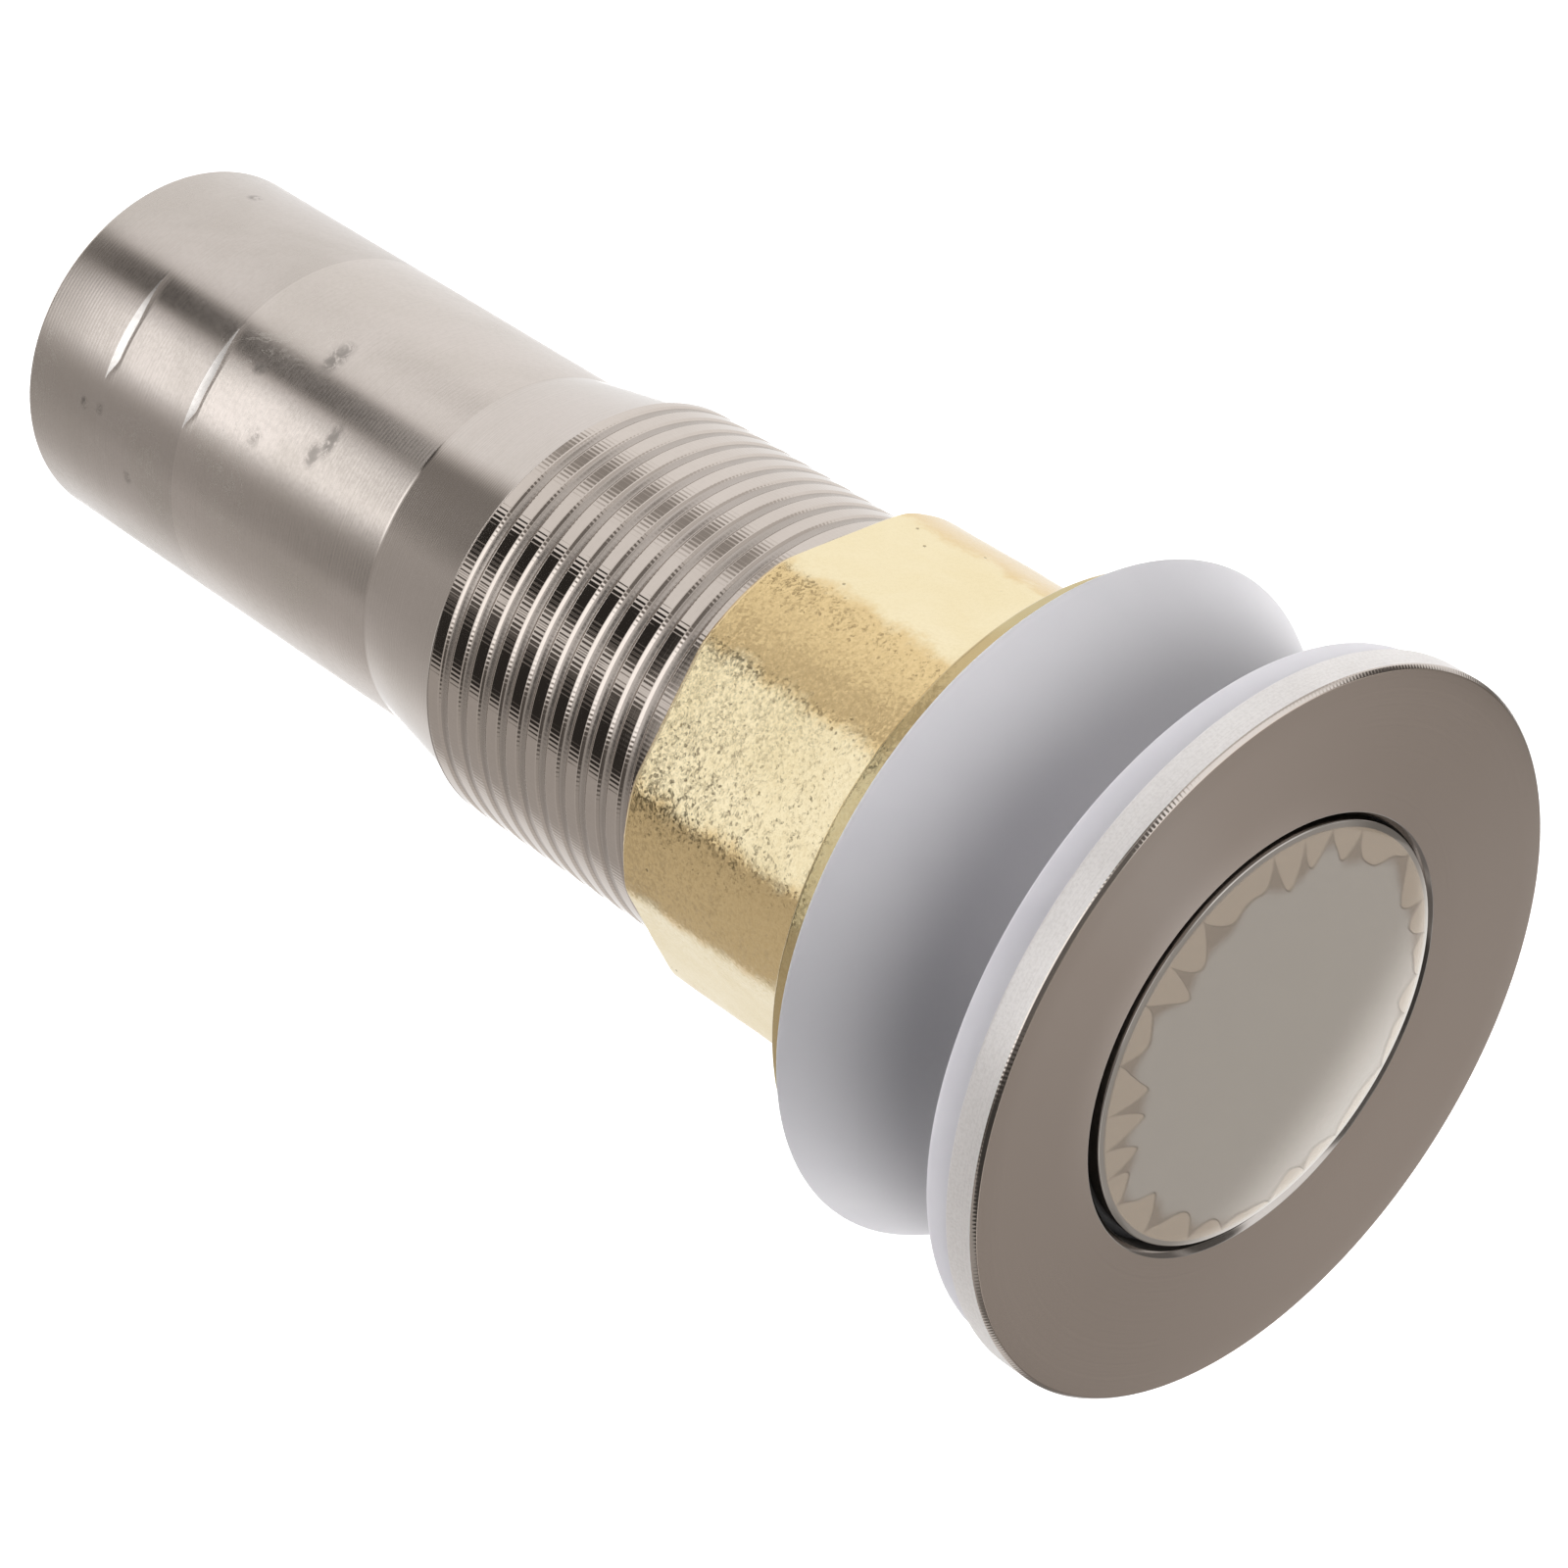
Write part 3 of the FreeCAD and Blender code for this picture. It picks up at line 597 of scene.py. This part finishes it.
def cutThread(bm, tube, cut, polished, rough):
    columns, count = tube["columns"], len(cut["section"])
    bottom, top, pitch = tube["threadBottom"], tube["threadTop"], cut["pitch"]
    turns = int((top - bottom) / pitch) + 4
    strips = []
    for column in range(columns):
        strip = []
        angle = 2 * math.pi * column / columns
        for index in range(turns * count):
            share, depth = cut["section"][index % count]
            height = bottom - 2 * pitch + pitch * (index // count + share + cut["phase"] + column / columns)
            height = min(top, max(bottom, height))
            fade = min(1.0, (top - height) / cut["topRunout"], (height - bottom) / cut["bottomRunout"])
            radius = tube["thread"] - cut["depth"] * depth * max(0.0, fade)
            strip.append(addVert(bm, radius, angle, height))
        strips.append(strip)
    for column in range(columns):
        here = strips[column]
        there = strips[(column + 1) % columns]
        skip = count if column == columns - 1 else 0
        for index in range((turns - 1) * count - 1):
            low, high = index + skip, index + 1 + skip
            heights = {here[index].co.z, here[index + 1].co.z, there[low].co.z, there[high].co.z}
            if len(heights) == 1:
                continue
            share = cut["section"][index % count][0]
            onCrest = share < cut["polishedTo"] or share > cut["polishedFrom"]
            face = bm.faces.new((here[index], here[index + 1], there[high], there[low]))
            face.material_index = polished if onCrest else rough


def shapeMarks(bm, tube, finishes):
    # the two marks go only part of the way round: one end is blunt and the other dies out
    tailFinish, markHighlightFinish, endFinish = finishes
    lowest, highest = (side * mm for side in (min(tube["rings"]) - tube["ringWidth"],
                                              max(tube["rings"]) + tube["ringWidth"]))
    dullFrom = (max(tube["rings"]) - tube["ringWidth"] / 2) * mm

    def markAt(spot):
        degrees = math.degrees(math.atan2(spot.y, spot.x))
        return min(within(degrees, tube["ringFrom"], 0, tube["ringFade"]),
                   within(degrees, -180, tube["ringTo"], tube["ringBlunt"]))

    for vert in bm.verts:
        flat = Vector((vert.co.x, vert.co.y, 0))
        short = tube["tail"] * mm - flat.length
        if 1e-7 < short <= (tube["ringDepth"] + 0.01) * mm and lowest < vert.co.z < highest:
            ring = min(tube["rings"], key=lambda z: abs(z - vert.co.z / mm))
            start = (ring - tube["ringWidth"] / 2) * mm
            share = markAt(vert.co)
            vert.co += flat.normalized() * short * (1 - share)
            vert.co.z = start + (vert.co.z - start) * max(tube["ringLeast"], share)
    for face in bm.faces:
        spot = face.calc_center_median()
        if face.material_index == markHighlightFinish and markAt(spot) < tube["ringLeast"]:
            face.material_index = tailFinish
        if face.material_index == tailFinish and spot.z < dullFrom:
            face.material_index = endFinish  # beyond the upper mark the tube is duller


def makeDrainTube(tube, cut):
    finishes = [nickelFace, nickelEdge, nickelRim, nickelThread, nickelTail, nickelBoreShaded, nickelGroove,
                nickelCone, nickelWall, nickelMarkHighlight, nickelEnd]
    (faceFinish, edgeFinish, rimFinish, threadFinish, tailFinish, shadedBoreFinish, grooveFinish, coneFinish,
     wallFinish, markHighlightFinish, endFinish) = range(len(finishes))
    bm = bmesh.new()
    cutThread(bm, tube, cut, threadFinish, grooveFinish)
    mouth = tube["plugBore"] + tube["boreEntry"]
    brim = tube["flangeRadius"] - tube["chamfer"]

    def faceAt(radius):  # the face falls a little towards the plug
        return tube["face"] - tube["dish"] * (brim - radius) / (brim - mouth)

    flange = [(tube["thread"], tube["threadTop"], 0, threadFinish),
              (tube["neck"], tube["neckBottom"], 0.1, threadFinish),
              (tube["neck"], tube["rimBottom"], 0, rimFinish),
              (tube["flangeRadius"], tube["rimBottom"], 0.25, rimFinish),
              (tube["flangeRadius"], tube["face"] - tube["chamfer"], 0.08, edgeFinish),
              (brim, tube["face"], 0.06, faceFinish)]
    flange += [(radius, faceAt(radius), 0, faceFinish) for radius in tube["faceRings"]]
    flange += [(mouth, faceAt(mouth), 0.03, wallFinish),
               (tube["plugBore"], faceAt(mouth) - tube["entryDepth"], 0.05, shadedBoreFinish),
               (tube["plugBore"], tube["boreFloor"], 0.2, shadedBoreFinish),
               (tube["waterWay"], tube["seatBottom"], 0.2, shadedBoreFinish),
               (tube["waterWay"], tube["ledge"], 0, shadedBoreFinish),
               (tube["outlet"], tube["ledge"], 0.1, shadedBoreFinish),
               (tube["outlet"], tube["tailEnd"], 0.15, shadedBoreFinish)]
    tail = [(tube["tail"] - tube["tailEdge"], tube["tailEnd"], 0.1, tailFinish),
            (tube["tail"], tube["tailEnd"] + tube["tailEdge"], 0.25, tailFinish)]
    half = tube["ringWidth"] / 2
    for middle in reversed(tube["rings"]):
        tail += [(tube["tail"], middle - half - tube["ringMargin"], 0, tailFinish),
                 (tube["tail"], middle - half, 0, markHighlightFinish),
                 (tube["tail"] - tube["ringDepth"], middle + half / 2, 0.06, tailFinish),
                 (tube["tail"], middle + half, 0, tailFinish),
                 (tube["tail"], middle + half + tube["ringMargin"], 0, tailFinish)]
    tail += [(tube["tail"], tube["coneEnd"], 0.2, coneFinish),
             (tube["thread"] - tube["endStep"], tube["threadEnd"], 0.15, coneFinish),
             (tube["thread"], tube["threadBottom"], 0, threadFinish)]
    latheInto(bm, softened(flange + tail), tube["columns"], closed=False)
    shapeMarks(bm, tube, (tailFinish, markHighlightFinish, endFinish))
    piece = makePiece("drainTubeTurned", bm, finishes, 28)
    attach(piece, "root")
    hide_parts("drain_body")


makeDrainTube(drainTube, threadCut)
print("drain tube turned and threaded")


# The rubber that the soft parts share. A painted shade darkens the tone between two heights, towards the gap
# under the flange;
# more painted shade darkens the sides turned away from the light, each given as an angle, a spread (degrees)
# and a shade.
# Glow is how much light goes in, as deep as glowDepth (metres).
rubber = {"roughness": 0.55, "lessRough": 0.05, "moreRough": 0.06, "glow": 0.2, "glowDepth": 0.0015,
          "glowColour": (1.0, 0.9, 0.95), "gloss": 0.25, "cloud": 60, "cloudDepth": 0.02, "fine": 2200,
          "fineDepth": 0.002, "dotScale": 260, "dotSize": 0.05, "dots": 0.07, "dotColour": (0.12, 0.11, 0.11)}


def softRubber(name, **changes):
    look = {**rubber, **changes}
    finish, tree, shader, part = newFinish(name)
    cloud = grain(tree, part["place"], look["cloud"], 3.0, 0.6, 0.4)
    fine = grain(tree, part["place"], look["fine"], 2.0)
    colour = blendColour(tree, ramp(tree, cloud, 0.35, 0.7), look["colour"], look["tone"])
    # painted shade: darker towards the top of the cone, where the flange and gasket shade it
    if look.get("deeper"):
        low, high, shade = look["deeper"]
        colour = blendColour(tree, ramp(tree, part["z"], low * mm, high * mm), colour,
                             tuple(c * shade for c in look["colour"]))
    # painted shade on the sides turned away from the light
    for angle, spread, shade in look.get("sides", []):
        share = ramp(tree, angleFrom(tree, part, angle), math.radians(spread), 0.0)
        colour = blendColour(tree, share, colour, (shade,) * 3, "MULTIPLY")
    dots = specks(tree, part["place"], look["dotScale"], look["dotSize"], look["dots"])
    colour = blendColour(tree, dots, colour, look["dotColour"])
    rough = ramp(tree, cloud, 0.3, 0.7, look["roughness"] - look["lessRough"],
                 look["roughness"] + look["moreRough"])
    height = plus(tree, calc(tree, "MULTIPLY", fine, look["fineDepth"] * mm), cloud, look["cloudDepth"] * mm)
    coat(tree, shader, colour, rough, bumpFrom(tree, height))
    shader.inputs["Subsurface Weight"].default_value = look["glow"]
    shader.inputs["Subsurface Radius"].default_value = look["glowColour"]
    shader.inputs["Subsurface Scale"].default_value = look["glowDepth"]
    shader.inputs["Specular IOR Level"].default_value = look["gloss"]
    return finish


# the washer carries painted shade towards the flange and on two sides
washerRubber = softRubber("washerRubber", colour=(0.73, 0.715, 0.73), tone=(0.70, 0.685, 0.705),
                          deeper=(-15.5, -6.5, 0.68), sides=[(-50, 46, 0.72), (-150, 42, 0.82)])
gasketRubber = softRubber("gasketRubber", colour=(0.78, 0.76, 0.785), tone=(0.74, 0.72, 0.75))

softRing = {"columns": 192, "bore": 19.5, "radius": 28.75, "top": 2.8, "rounding": 0.6}


def makeGasket(ring):
    outline = [(ring["bore"], ring["top"], 0.1, 0), (ring["radius"], ring["top"], 0.15, 0),
               (ring["radius"], 0, ring["rounding"], 0), (ring["bore"], 0, 0.15, 0)]
    bm = bmesh.new()
    latheInto(bm, softened(outline, 6), ring["columns"])
    piece = makePiece("softGasket", bm, [gasketRubber], 60)
    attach(piece, "root")
    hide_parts("flange_gasket")


softCone = {"columns": 192, "bore": 18.7, "topRadius": 20.6, "top": -3.9, "radius": 27.85, "bottom": -16.35,
            "rim": 1.15, "rimInset": 0.35, "edge": 0.5}


def makeWasher(cone):
    outline = [(cone["bore"], cone["top"], 0.1, 0), (cone["topRadius"], cone["top"], cone["edge"], 0),
               (cone["radius"] - cone["rimInset"], cone["bottom"] + cone["rim"], 0.5, 0),
               (cone["radius"], cone["bottom"] + cone["edge"], 0.35, 0),
               (cone["radius"] - cone["edge"], cone["bottom"], 0.3, 0), (cone["bore"], cone["bottom"], 0.1, 0)]
    bm = bmesh.new()
    latheInto(bm, softened(outline, 6), cone["columns"])
    piece = makePiece("softConeWasher", bm, [washerRubber], 60)
    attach(piece, "washer")
    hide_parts("cone_washer")


makeGasket(softRing)
makeWasher(softCone)
print("soft ring and cone made")


# The nut; waves are the sand mould's unevenness, each a scale and a depth, and stop short of the bore.
castNut = {"columns": 360, "bore": 18.55, "mouth": 0.3, "boreEdge": 0.15, "flat": 19.4, "hub": 20.25,
           "flats": 6, "turn": -79.0, "flange": 25.85, "flangeEdge": 0.3, "flangeInner": 21.45, "top": -16.4,
           "flangeBottom": -18.75, "bottom": -41.35, "chamfer": 0.7, "chamferSlope": 0.8, "fillet": 0.9,
           "filletRows": (0.3, 0.62, 0.82), "blend": 0.12, "rows": 30, "waves": ((160, 0.05), (520, 0.02)),
           "calmBore": 0.4}
# the corner colours are partly a painted reflection of the dim surroundings
brassLook = {"colour": (0.96, 0.84, 0.565), "tone": (0.93, 0.80, 0.51), "corner": (0.84, 0.64, 0.34),
             "cornerFrom": 14.0, "cornerTo": 20.0, "cornerRagged": 16, "deep": (0.50, 0.34, 0.13),
             "shade": 0.14, "broad": 110, "grit": 3000.0, "gritDepth": 0.02, "coarseDepth": 0.04,
             "pitScale": 900.0, "pitSize": 0.16, "pits": 0.09, "pitDepth": 0.03, "pitCover": 0.6,
             "pitColour": (0.20, 0.14, 0.05), "facets": 4200.0, "facetTip": 0.13, "roughness": 0.16,
             "lessRough": 0.03, "moreRough": 0.05, "calmSides": ((-12.5, -9.0), (18.5, 15.0)), "calm": 0.25}
# painted shade: a darker copy of the brass for the flange's edge and top, under the washer's wider rim
shadedRimLook = {**brassLook, "colour": (0.66, 0.56, 0.33), "tone": (0.60, 0.50, 0.28),
           "corner": (0.60, 0.47, 0.25)}


def castBrass(name, look, nut):
    # sandy gold; the corners between the flats are darker and browner, partly the metal's colour and partly a
    # painted reflection of their dim surroundings
    finish, tree, shader, part = newFinish(name)
    place = part["place"]
    broad = grain(tree, place, look["broad"], 3.0, 0.6, 0.5)
    grit = grain(tree, place, look["grit"], 3.0, 0.65)
    coarse = grain(tree, place, look["grit"] / 3, 2.0, 0.5)
    pit = specks(tree, place, look["pitScale"], look["pitSize"], look["pits"])
    colour = blendColour(tree, ramp(tree, broad, 0.3, 0.7), look["colour"], look["tone"])
    turned = calc(tree, "SUBTRACT", part["angle"], math.radians(nut["turn"]))
    off = calc(tree, "PINGPONG", turned, math.pi / nut["flats"])
    ragged = calc(tree, "SUBTRACT", grain(tree, place, 260, 4.0, 0.7), 0.5)
    # painted reflection, in part: the rounded corners get the darker, browner colour
    corner = ramp(tree, plus(tree, off, ragged, math.radians(look["cornerRagged"])),
                  math.radians(look["cornerFrom"]), math.radians(look["cornerTo"]))
    colour = blendColour(tree, corner, colour, look["corner"])
    # the sand marks are strong in the middle and fade on two sides, where the skin is smooth
    left, right = (ramp(tree, part["x"], calmest * mm, end * mm, look["calm"], 1.0)
                   for calmest, end in look["calmSides"])
    force = calc(tree, "MULTIPLY", left, right)
    shade = calc(tree, "MULTIPLY", ramp(tree, grit, 0.58, 0.38, 0.0, look["shade"]), force)
    colour = blendColour(tree, shade, colour, look["deep"])
    colour = blendColour(tree, calc(tree, "MULTIPLY", pit, look["pitCover"]), colour, look["pitColour"])
    height = plus(tree, calc(tree, "MULTIPLY", grit, look["gritDepth"] * mm), coarse, look["coarseDepth"] * mm)
    height = calc(tree, "MULTIPLY", height, force)
    height = calc(tree, "SUBTRACT", height, calc(tree, "MULTIPLY", pit, look["pitDepth"] * mm))
    # small facets, each tipped its own way, glint one by one
    cells = addNode(tree, "ShaderNodeTexVoronoi", {"Vector": place, "Scale": look["facets"]})
    tip = vectorCalc(tree, "SUBTRACT", {0: cells.outputs["Color"], 1: (0.5, 0.5, 0.5)})
    tip = vectorCalc(tree, "SCALE", {0: tip, "Scale": calc(tree, "MULTIPLY", force, look["facetTip"])})
    tipped = vectorCalc(tree, "ADD", {0: bumpFrom(tree, height), 1: tip})
    rough = ramp(tree, broad, 0.3, 0.7, look["roughness"] - look["lessRough"],
                 look["roughness"] + look["moreRough"])
    coat(tree, shader, colour, rough, vectorCalc(tree, "NORMALIZE", {0: tipped}))
    shader.inputs["Metallic"].default_value = 1.0
    return finish


brassSkin = castBrass("brassSkin", brassLook, castNut)
# the shaded copy of the brass, with painted shade
brassRimShaded = castBrass("brassRimShaded", shadedRimLook, castNut)


def hubRadius(nut, angle):
    # flats and round corners run into each other softly
    step = 2 * math.pi / nut["flats"]
    off = (angle - math.radians(nut["turn"]) + step / 2) % step - step / 2
    flat, hub, soft = nut["flat"] / math.cos(off), nut["hub"], nut["blend"]
    low = min(flat, hub)
    both = math.log(math.exp(-(flat - low) / soft) + math.exp(-(hub - low) / soft))
    return low - soft * both + soft * math.log(2) * 0.5


def hubProfile(nut):
    # each height of the hub, and how far the flange fillet or the end chamfer moves the wall there
    profile = [(nut["bottom"] + nut["chamfer"], 0.0)]
    for row in range(nut["rows"] + 1):
        height = nut["bottom"] + (nut["flangeBottom"] - nut["bottom"]) * row / nut["rows"]
        shift = 0.0
        rise = nut["flangeBottom"] - height
        if rise < nut["fillet"]:
            t = 1 - rise / nut["fillet"]
            shift = nut["fillet"] * (1 - math.sqrt(max(0.0, 1 - t * t)))
        low = height - nut["bottom"]
        if low < nut["chamfer"]:
            shift = -(nut["chamfer"] - low) * nut["chamferSlope"]
        profile.append((height, shift))
    for extra in nut["filletRows"]:
        height = nut["flangeBottom"] - nut["fillet"] * (1 - extra)
        profile.append((height, nut["fillet"] * (1 - math.sqrt(1 - extra * extra))))
    return sorted(profile)


def makeNut(nut):
    columns = nut["columns"]
    bm = bmesh.new()
    least = nut["bore"] + nut["boreEdge"]
    angles = [2 * math.pi * i / columns for i in range(columns)]
    rings = []
    for height, shift in hubProfile(nut):
        radii = [max(least, hubRadius(nut, angle) + shift) for angle in angles]
        rings.append([addVert(bm, radius, angle, height) for radius, angle in zip(radii, angles)])
    for low, high in zip(rings, rings[1:]):
        joinRings(bm, low, high, 0)
    # the first and last points only aim the roundings; the hub's own rings stand there
    outline = softened([(nut["flangeInner"], nut["flangeBottom"], 0, 0),
                        (nut["flange"] - nut["flangeEdge"], nut["flangeBottom"], 0.1, 0),
                        (nut["flange"], nut["flangeBottom"] + nut["flangeEdge"], 0.15, 1),
                        (nut["flange"], nut["top"], 0.15, 1), (nut["bore"] + nut["mouth"], nut["top"], 0, 0),
                        (nut["bore"], nut["top"] - nut["mouth"], 0, 0),
                        (nut["bore"], nut["bottom"] + nut["boreEdge"], 0, 0),
                        (least, nut["bottom"], 0, 0)], 4)
    flange = latheInto(bm, outline[1:-1], columns, closed=False)
    joinRings(bm, rings[-1], flange[0], 0)
    joinRings(bm, flange[-1], rings[0], 0)
    inner, highest = (nut["bore"] + nut["calmBore"]) * mm, (nut["top"] - nut["mouth"]) * mm
    for vert in bm.verts:
        flat = Vector((vert.co.x, vert.co.y, 0))
        if flat.length > inner and vert.co.z < highest:
            push = sum(noise.noise(vert.co * scale) * depth for scale, depth in nut["waves"])
            vert.co += flat.normalized() * push * mm
    piece = makePiece("castFlangeNut", bm, [brassSkin, brassRimShaded], 40)
    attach(piece, "nut")
    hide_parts("flange_nut")


makeNut(castNut)
print("nut cast")


capFinish = plated("polishedCap", colour=(0.77, 0.735, 0.69), tone=(0.76, 0.725, 0.68), roughness=0.06,
                   spread=0.01, lineShade=0.0, feedDepth=0.0001, fineDepth=0.00005, speckle=0.02)
# The cap sits a little low in its bore, and not quite in the middle.
clickCap = {"columns": 192, "radius": 17.1, "skirt": 3.75, "skirtEdge": 0.1, "face": 5.6, "dome": 1.0,
            "edge": 0.10, "edgeSteps": 6, "wall": 0.8, "shift": (-0.22, 0.0, -0.42), "domeRows": 14}
# The film's lobes are the scallops at its edge: how many, how deep, how much deeper on one side, how far they
# wander. Scales are per metre; each cover is how much of the cap a layer hides.
clearFilm = {"columns": 240, "radius": 16.65, "inset": 0.05, "lift": 0.01, "thickness": 0.08, "rows": 16,
             "lobes": 12.0, "lobeDepth": 2.4, "lobeSide": 1.0, "lobeShape": 0.6, "lobeWander": 9.0,
             "lobeSizes": (0.55, 1.2), "wobbleScale": 330, "wobble": 0.7, "lineWidth": (0.13, 0.03),
             "wedgeReach": (-0.3, 0.9), "haze": (0.62, 0.57, 0.50), "hazeCover": 0.08,
             "lobeColour": (0.75, 0.58, 0.40), "lobeCover": 0.07, "wedgeColour": (0.30, 0.22, 0.15),
             "wedgeCover": 0.12, "lineColour": (0.20, 0.15, 0.11), "lineCover": 0.20, "sheen": 0.04,
             "sheenRough": 0.12}


def domeHeight(cap, radius):
    ball = (cap["radius"] ** 2 + cap["dome"] ** 2) / (2 * cap["dome"])
    return cap["face"] + cap["dome"] - ball + math.sqrt(ball * ball - radius * radius)


def makeCap(cap):
    edge = cap["radius"] - cap["edge"]
    outline = [(0, cap["face"] + cap["dome"], 0)]
    for row in range(1, cap["domeRows"] + 1):
        radius = edge * row / cap["domeRows"]
        outline.append((radius, domeHeight(cap, radius), 0))
    start = Vector((edge, domeHeight(cap, edge)))
    corner = Vector((cap["radius"], cap["face"]))
    end = Vector((cap["radius"], cap["face"] - cap["edge"]))
    for step in range(1, cap["edgeSteps"] + 1):
        t = step / cap["edgeSteps"]
        spot = start * (1 - t) ** 2 + corner * 2 * t * (1 - t) + end * t * t
        outline.append((spot.x, spot.y, 1 if step > 1 else 0))
    inner = cap["radius"] - cap["wall"]
    outline += [(cap["radius"], cap["skirt"] + cap["skirtEdge"], 1),
                (cap["radius"] - cap["skirtEdge"], cap["skirt"], 1),
                (inner, cap["skirt"], 0), (inner, cap["face"] - cap["wall"], 0),
                (0, cap["face"] + cap["dome"] - cap["wall"], 0)]
    bm = bmesh.new()
    latheInto(bm, outline, cap["columns"], closed=False)
    for vert in bm.verts:
        vert.co += Vector(cap["shift"]) * mm
    piece = makePiece("domedCap", bm, [capFinish, nickelWall], 40)
    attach(piece, "plug")
    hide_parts("plug_cap")


def filmFinish(film, cap):
    # clear in the middle; round the edge it has come away in scallops, with smears of glue between them
    finish, tree, shader, part = newFinish("clearFilmSkin", cap["shift"])
    flat = addNode(tree, "ShaderNodeCombineXYZ", {0: part["x"], 1: part["y"]}).outputs[0]
    outward = vectorCalc(tree, "NORMALIZE", {0: flat})
    slow = grain(tree, outward, 1.3, 0.0)
    quick = grain(tree, outward, 3.5, 0.0)
    wobble = calc(tree, "SUBTRACT", grain(tree, part["place"], film["wobbleScale"], 2.0), 0.5)
    turn = plus(tree, calc(tree, "MULTIPLY", part["angle"], film["lobes"]), slow, film["lobeWander"])
    lobe = calc(tree, "POWER", calc(tree, "ABSOLUTE", calc(tree, "SINE", turn)), film["lobeShape"])
    toSide = addNode(tree, "ShaderNodeSeparateXYZ", {0: outward}).outputs[1]
    side = calc(tree, "MULTIPLY", toSide, -film["lobeSide"])
    depth = calc(tree, "MULTIPLY", calc(tree, "ADD", side, film["lobeDepth"]), mm)
    reach = calc(tree, "MULTIPLY", depth, ramp(tree, quick, 0.3, 0.7, *film["lobeSizes"]))
    border = calc(tree, "SUBTRACT", film["radius"] * mm, calc(tree, "MULTIPLY", reach, lobe))
    border = plus(tree, border, wobble, film["wobble"] * mm)
    past = calc(tree, "SUBTRACT", part["radius"], border)
    inLobe = ramp(tree, past, -0.04 * mm, 0.04 * mm)
    line = ramp(tree, calc(tree, "ABSOLUTE", past), *(width * mm for width in film["lineWidth"]))
    deepest = calc(tree, "SUBTRACT", film["radius"] * mm, reach)
    inside = calc(tree, "SUBTRACT", part["radius"], deepest)
    wedge = calc(tree, "MULTIPLY", calc(tree, "SUBTRACT", 1.0, inLobe),
                 ramp(tree, inside, *(edge * mm for edge in film["wedgeReach"])))
    colour = blendColour(tree, inLobe, film["haze"], film["lobeColour"])
    colour = blendColour(tree, wedge, colour, film["wedgeColour"])
    colour = blendColour(tree, line, colour, film["lineColour"])
    cover = ramp(tree, inLobe, 0.0, 1.0, film["hazeCover"], film["lobeCover"], smooth=False)
    cover = calc(tree, "MAXIMUM", cover, calc(tree, "MULTIPLY", wedge, film["wedgeCover"]))
    cover = calc(tree, "MAXIMUM", cover, calc(tree, "MULTIPLY", line, film["lineCover"]))
    glue = addNode(tree, "ShaderNodeBsdfDiffuse", {"Color": colour})
    clear = tree.nodes.new("ShaderNodeBsdfTransparent")
    sheen = addNode(tree, "ShaderNodeBsdfGlossy", {"Color": (1, 1, 1, 1), "Roughness": film["sheenRough"]})
    skin = addNode(tree, "ShaderNodeMixShader", {0: film["sheen"], 1: clear.outputs[0], 2: sheen.outputs[0]})
    mix = addNode(tree, "ShaderNodeMixShader", {0: cover, 1: skin.outputs[0], 2: glue.outputs[0]})
    tree.links.new(mix.outputs[0], shader.outputs[0].links[0].to_socket)  # in the usual shader's place
    tree.nodes.remove(shader)
    return finish


def makeFilm(film, cap):
    bm = bmesh.new()
    rings = {0: [], 1: []}
    for layer, lift in ((0, film["lift"] + film["thickness"]), (1, film["lift"])):
        for row in range(film["rows"] + 1):
            radius = (film["radius"] - film["inset"]) * row / film["rows"]
            rings[layer].append(addRing(bm, radius, domeHeight(cap, radius) + lift, film["columns"]))
        for inner, outer in zip(rings[layer], rings[layer][1:]):
            joinRings(bm, inner, outer, 0)
    joinRings(bm, rings[0][-1], rings[1][-1], 0)
    for vert in bm.verts:
        vert.co += Vector(cap["shift"]) * mm
    piece = makePiece("plugFilm", bm, [filmFinish(film, cap)], 40)
    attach(piece, "plug")
    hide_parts("protective_film")


makeCap(clickCap)
makeFilm(clearFilm, clickCap)
print("cap and film made")


# The parts inside the tube; the brass and the steel are turned like the nickel.
brassTurned = plated("brassTurned", colour=(0.80, 0.62, 0.30), tone=(0.74, 0.55, 0.25),
                     speckColour=(0.4, 0.28, 0.1), roughness=0.26, spread=0.05)
steelBright = plated("steelBright", colour=(0.62, 0.62, 0.63), tone=(0.56, 0.56, 0.57),
                     speckColour=(0.3, 0.3, 0.3))
blackRubber = softRubber("blackRubber", colour=(0.03, 0.03, 0.032), tone=(0.045, 0.045, 0.045), glow=0.0,
                         gloss=0.35)
whiteAcetal = softRubber("whiteAcetal", colour=(0.78, 0.77, 0.72), tone=(0.74, 0.73, 0.68), roughness=0.35,
                         glow=0.15, gloss=0.5)
insideFinishes = {"turned_brass": brassTurned, "bright_steel": steelBright, "black_rubber": blackRubber,
                  "white_acetal": whiteAcetal}


def dressInside():
    # each hidden piece keeps its solid and gets the finish of its own material slot
    dressed = []
    for subpart in frame["record"]["subparts"]:
        finish = insideFinishes.get(subpart["material_slot"])
        if finish:
            node = frame["nodes"][subpart["node"]]
            node.data.materials.clear()
            node.data.materials.append(finish)
            dressed.append(subpart["node"])
    print("dressed inside:", ", ".join(dressed))


dressInside()

scene.view_settings.view_transform = "Standard"
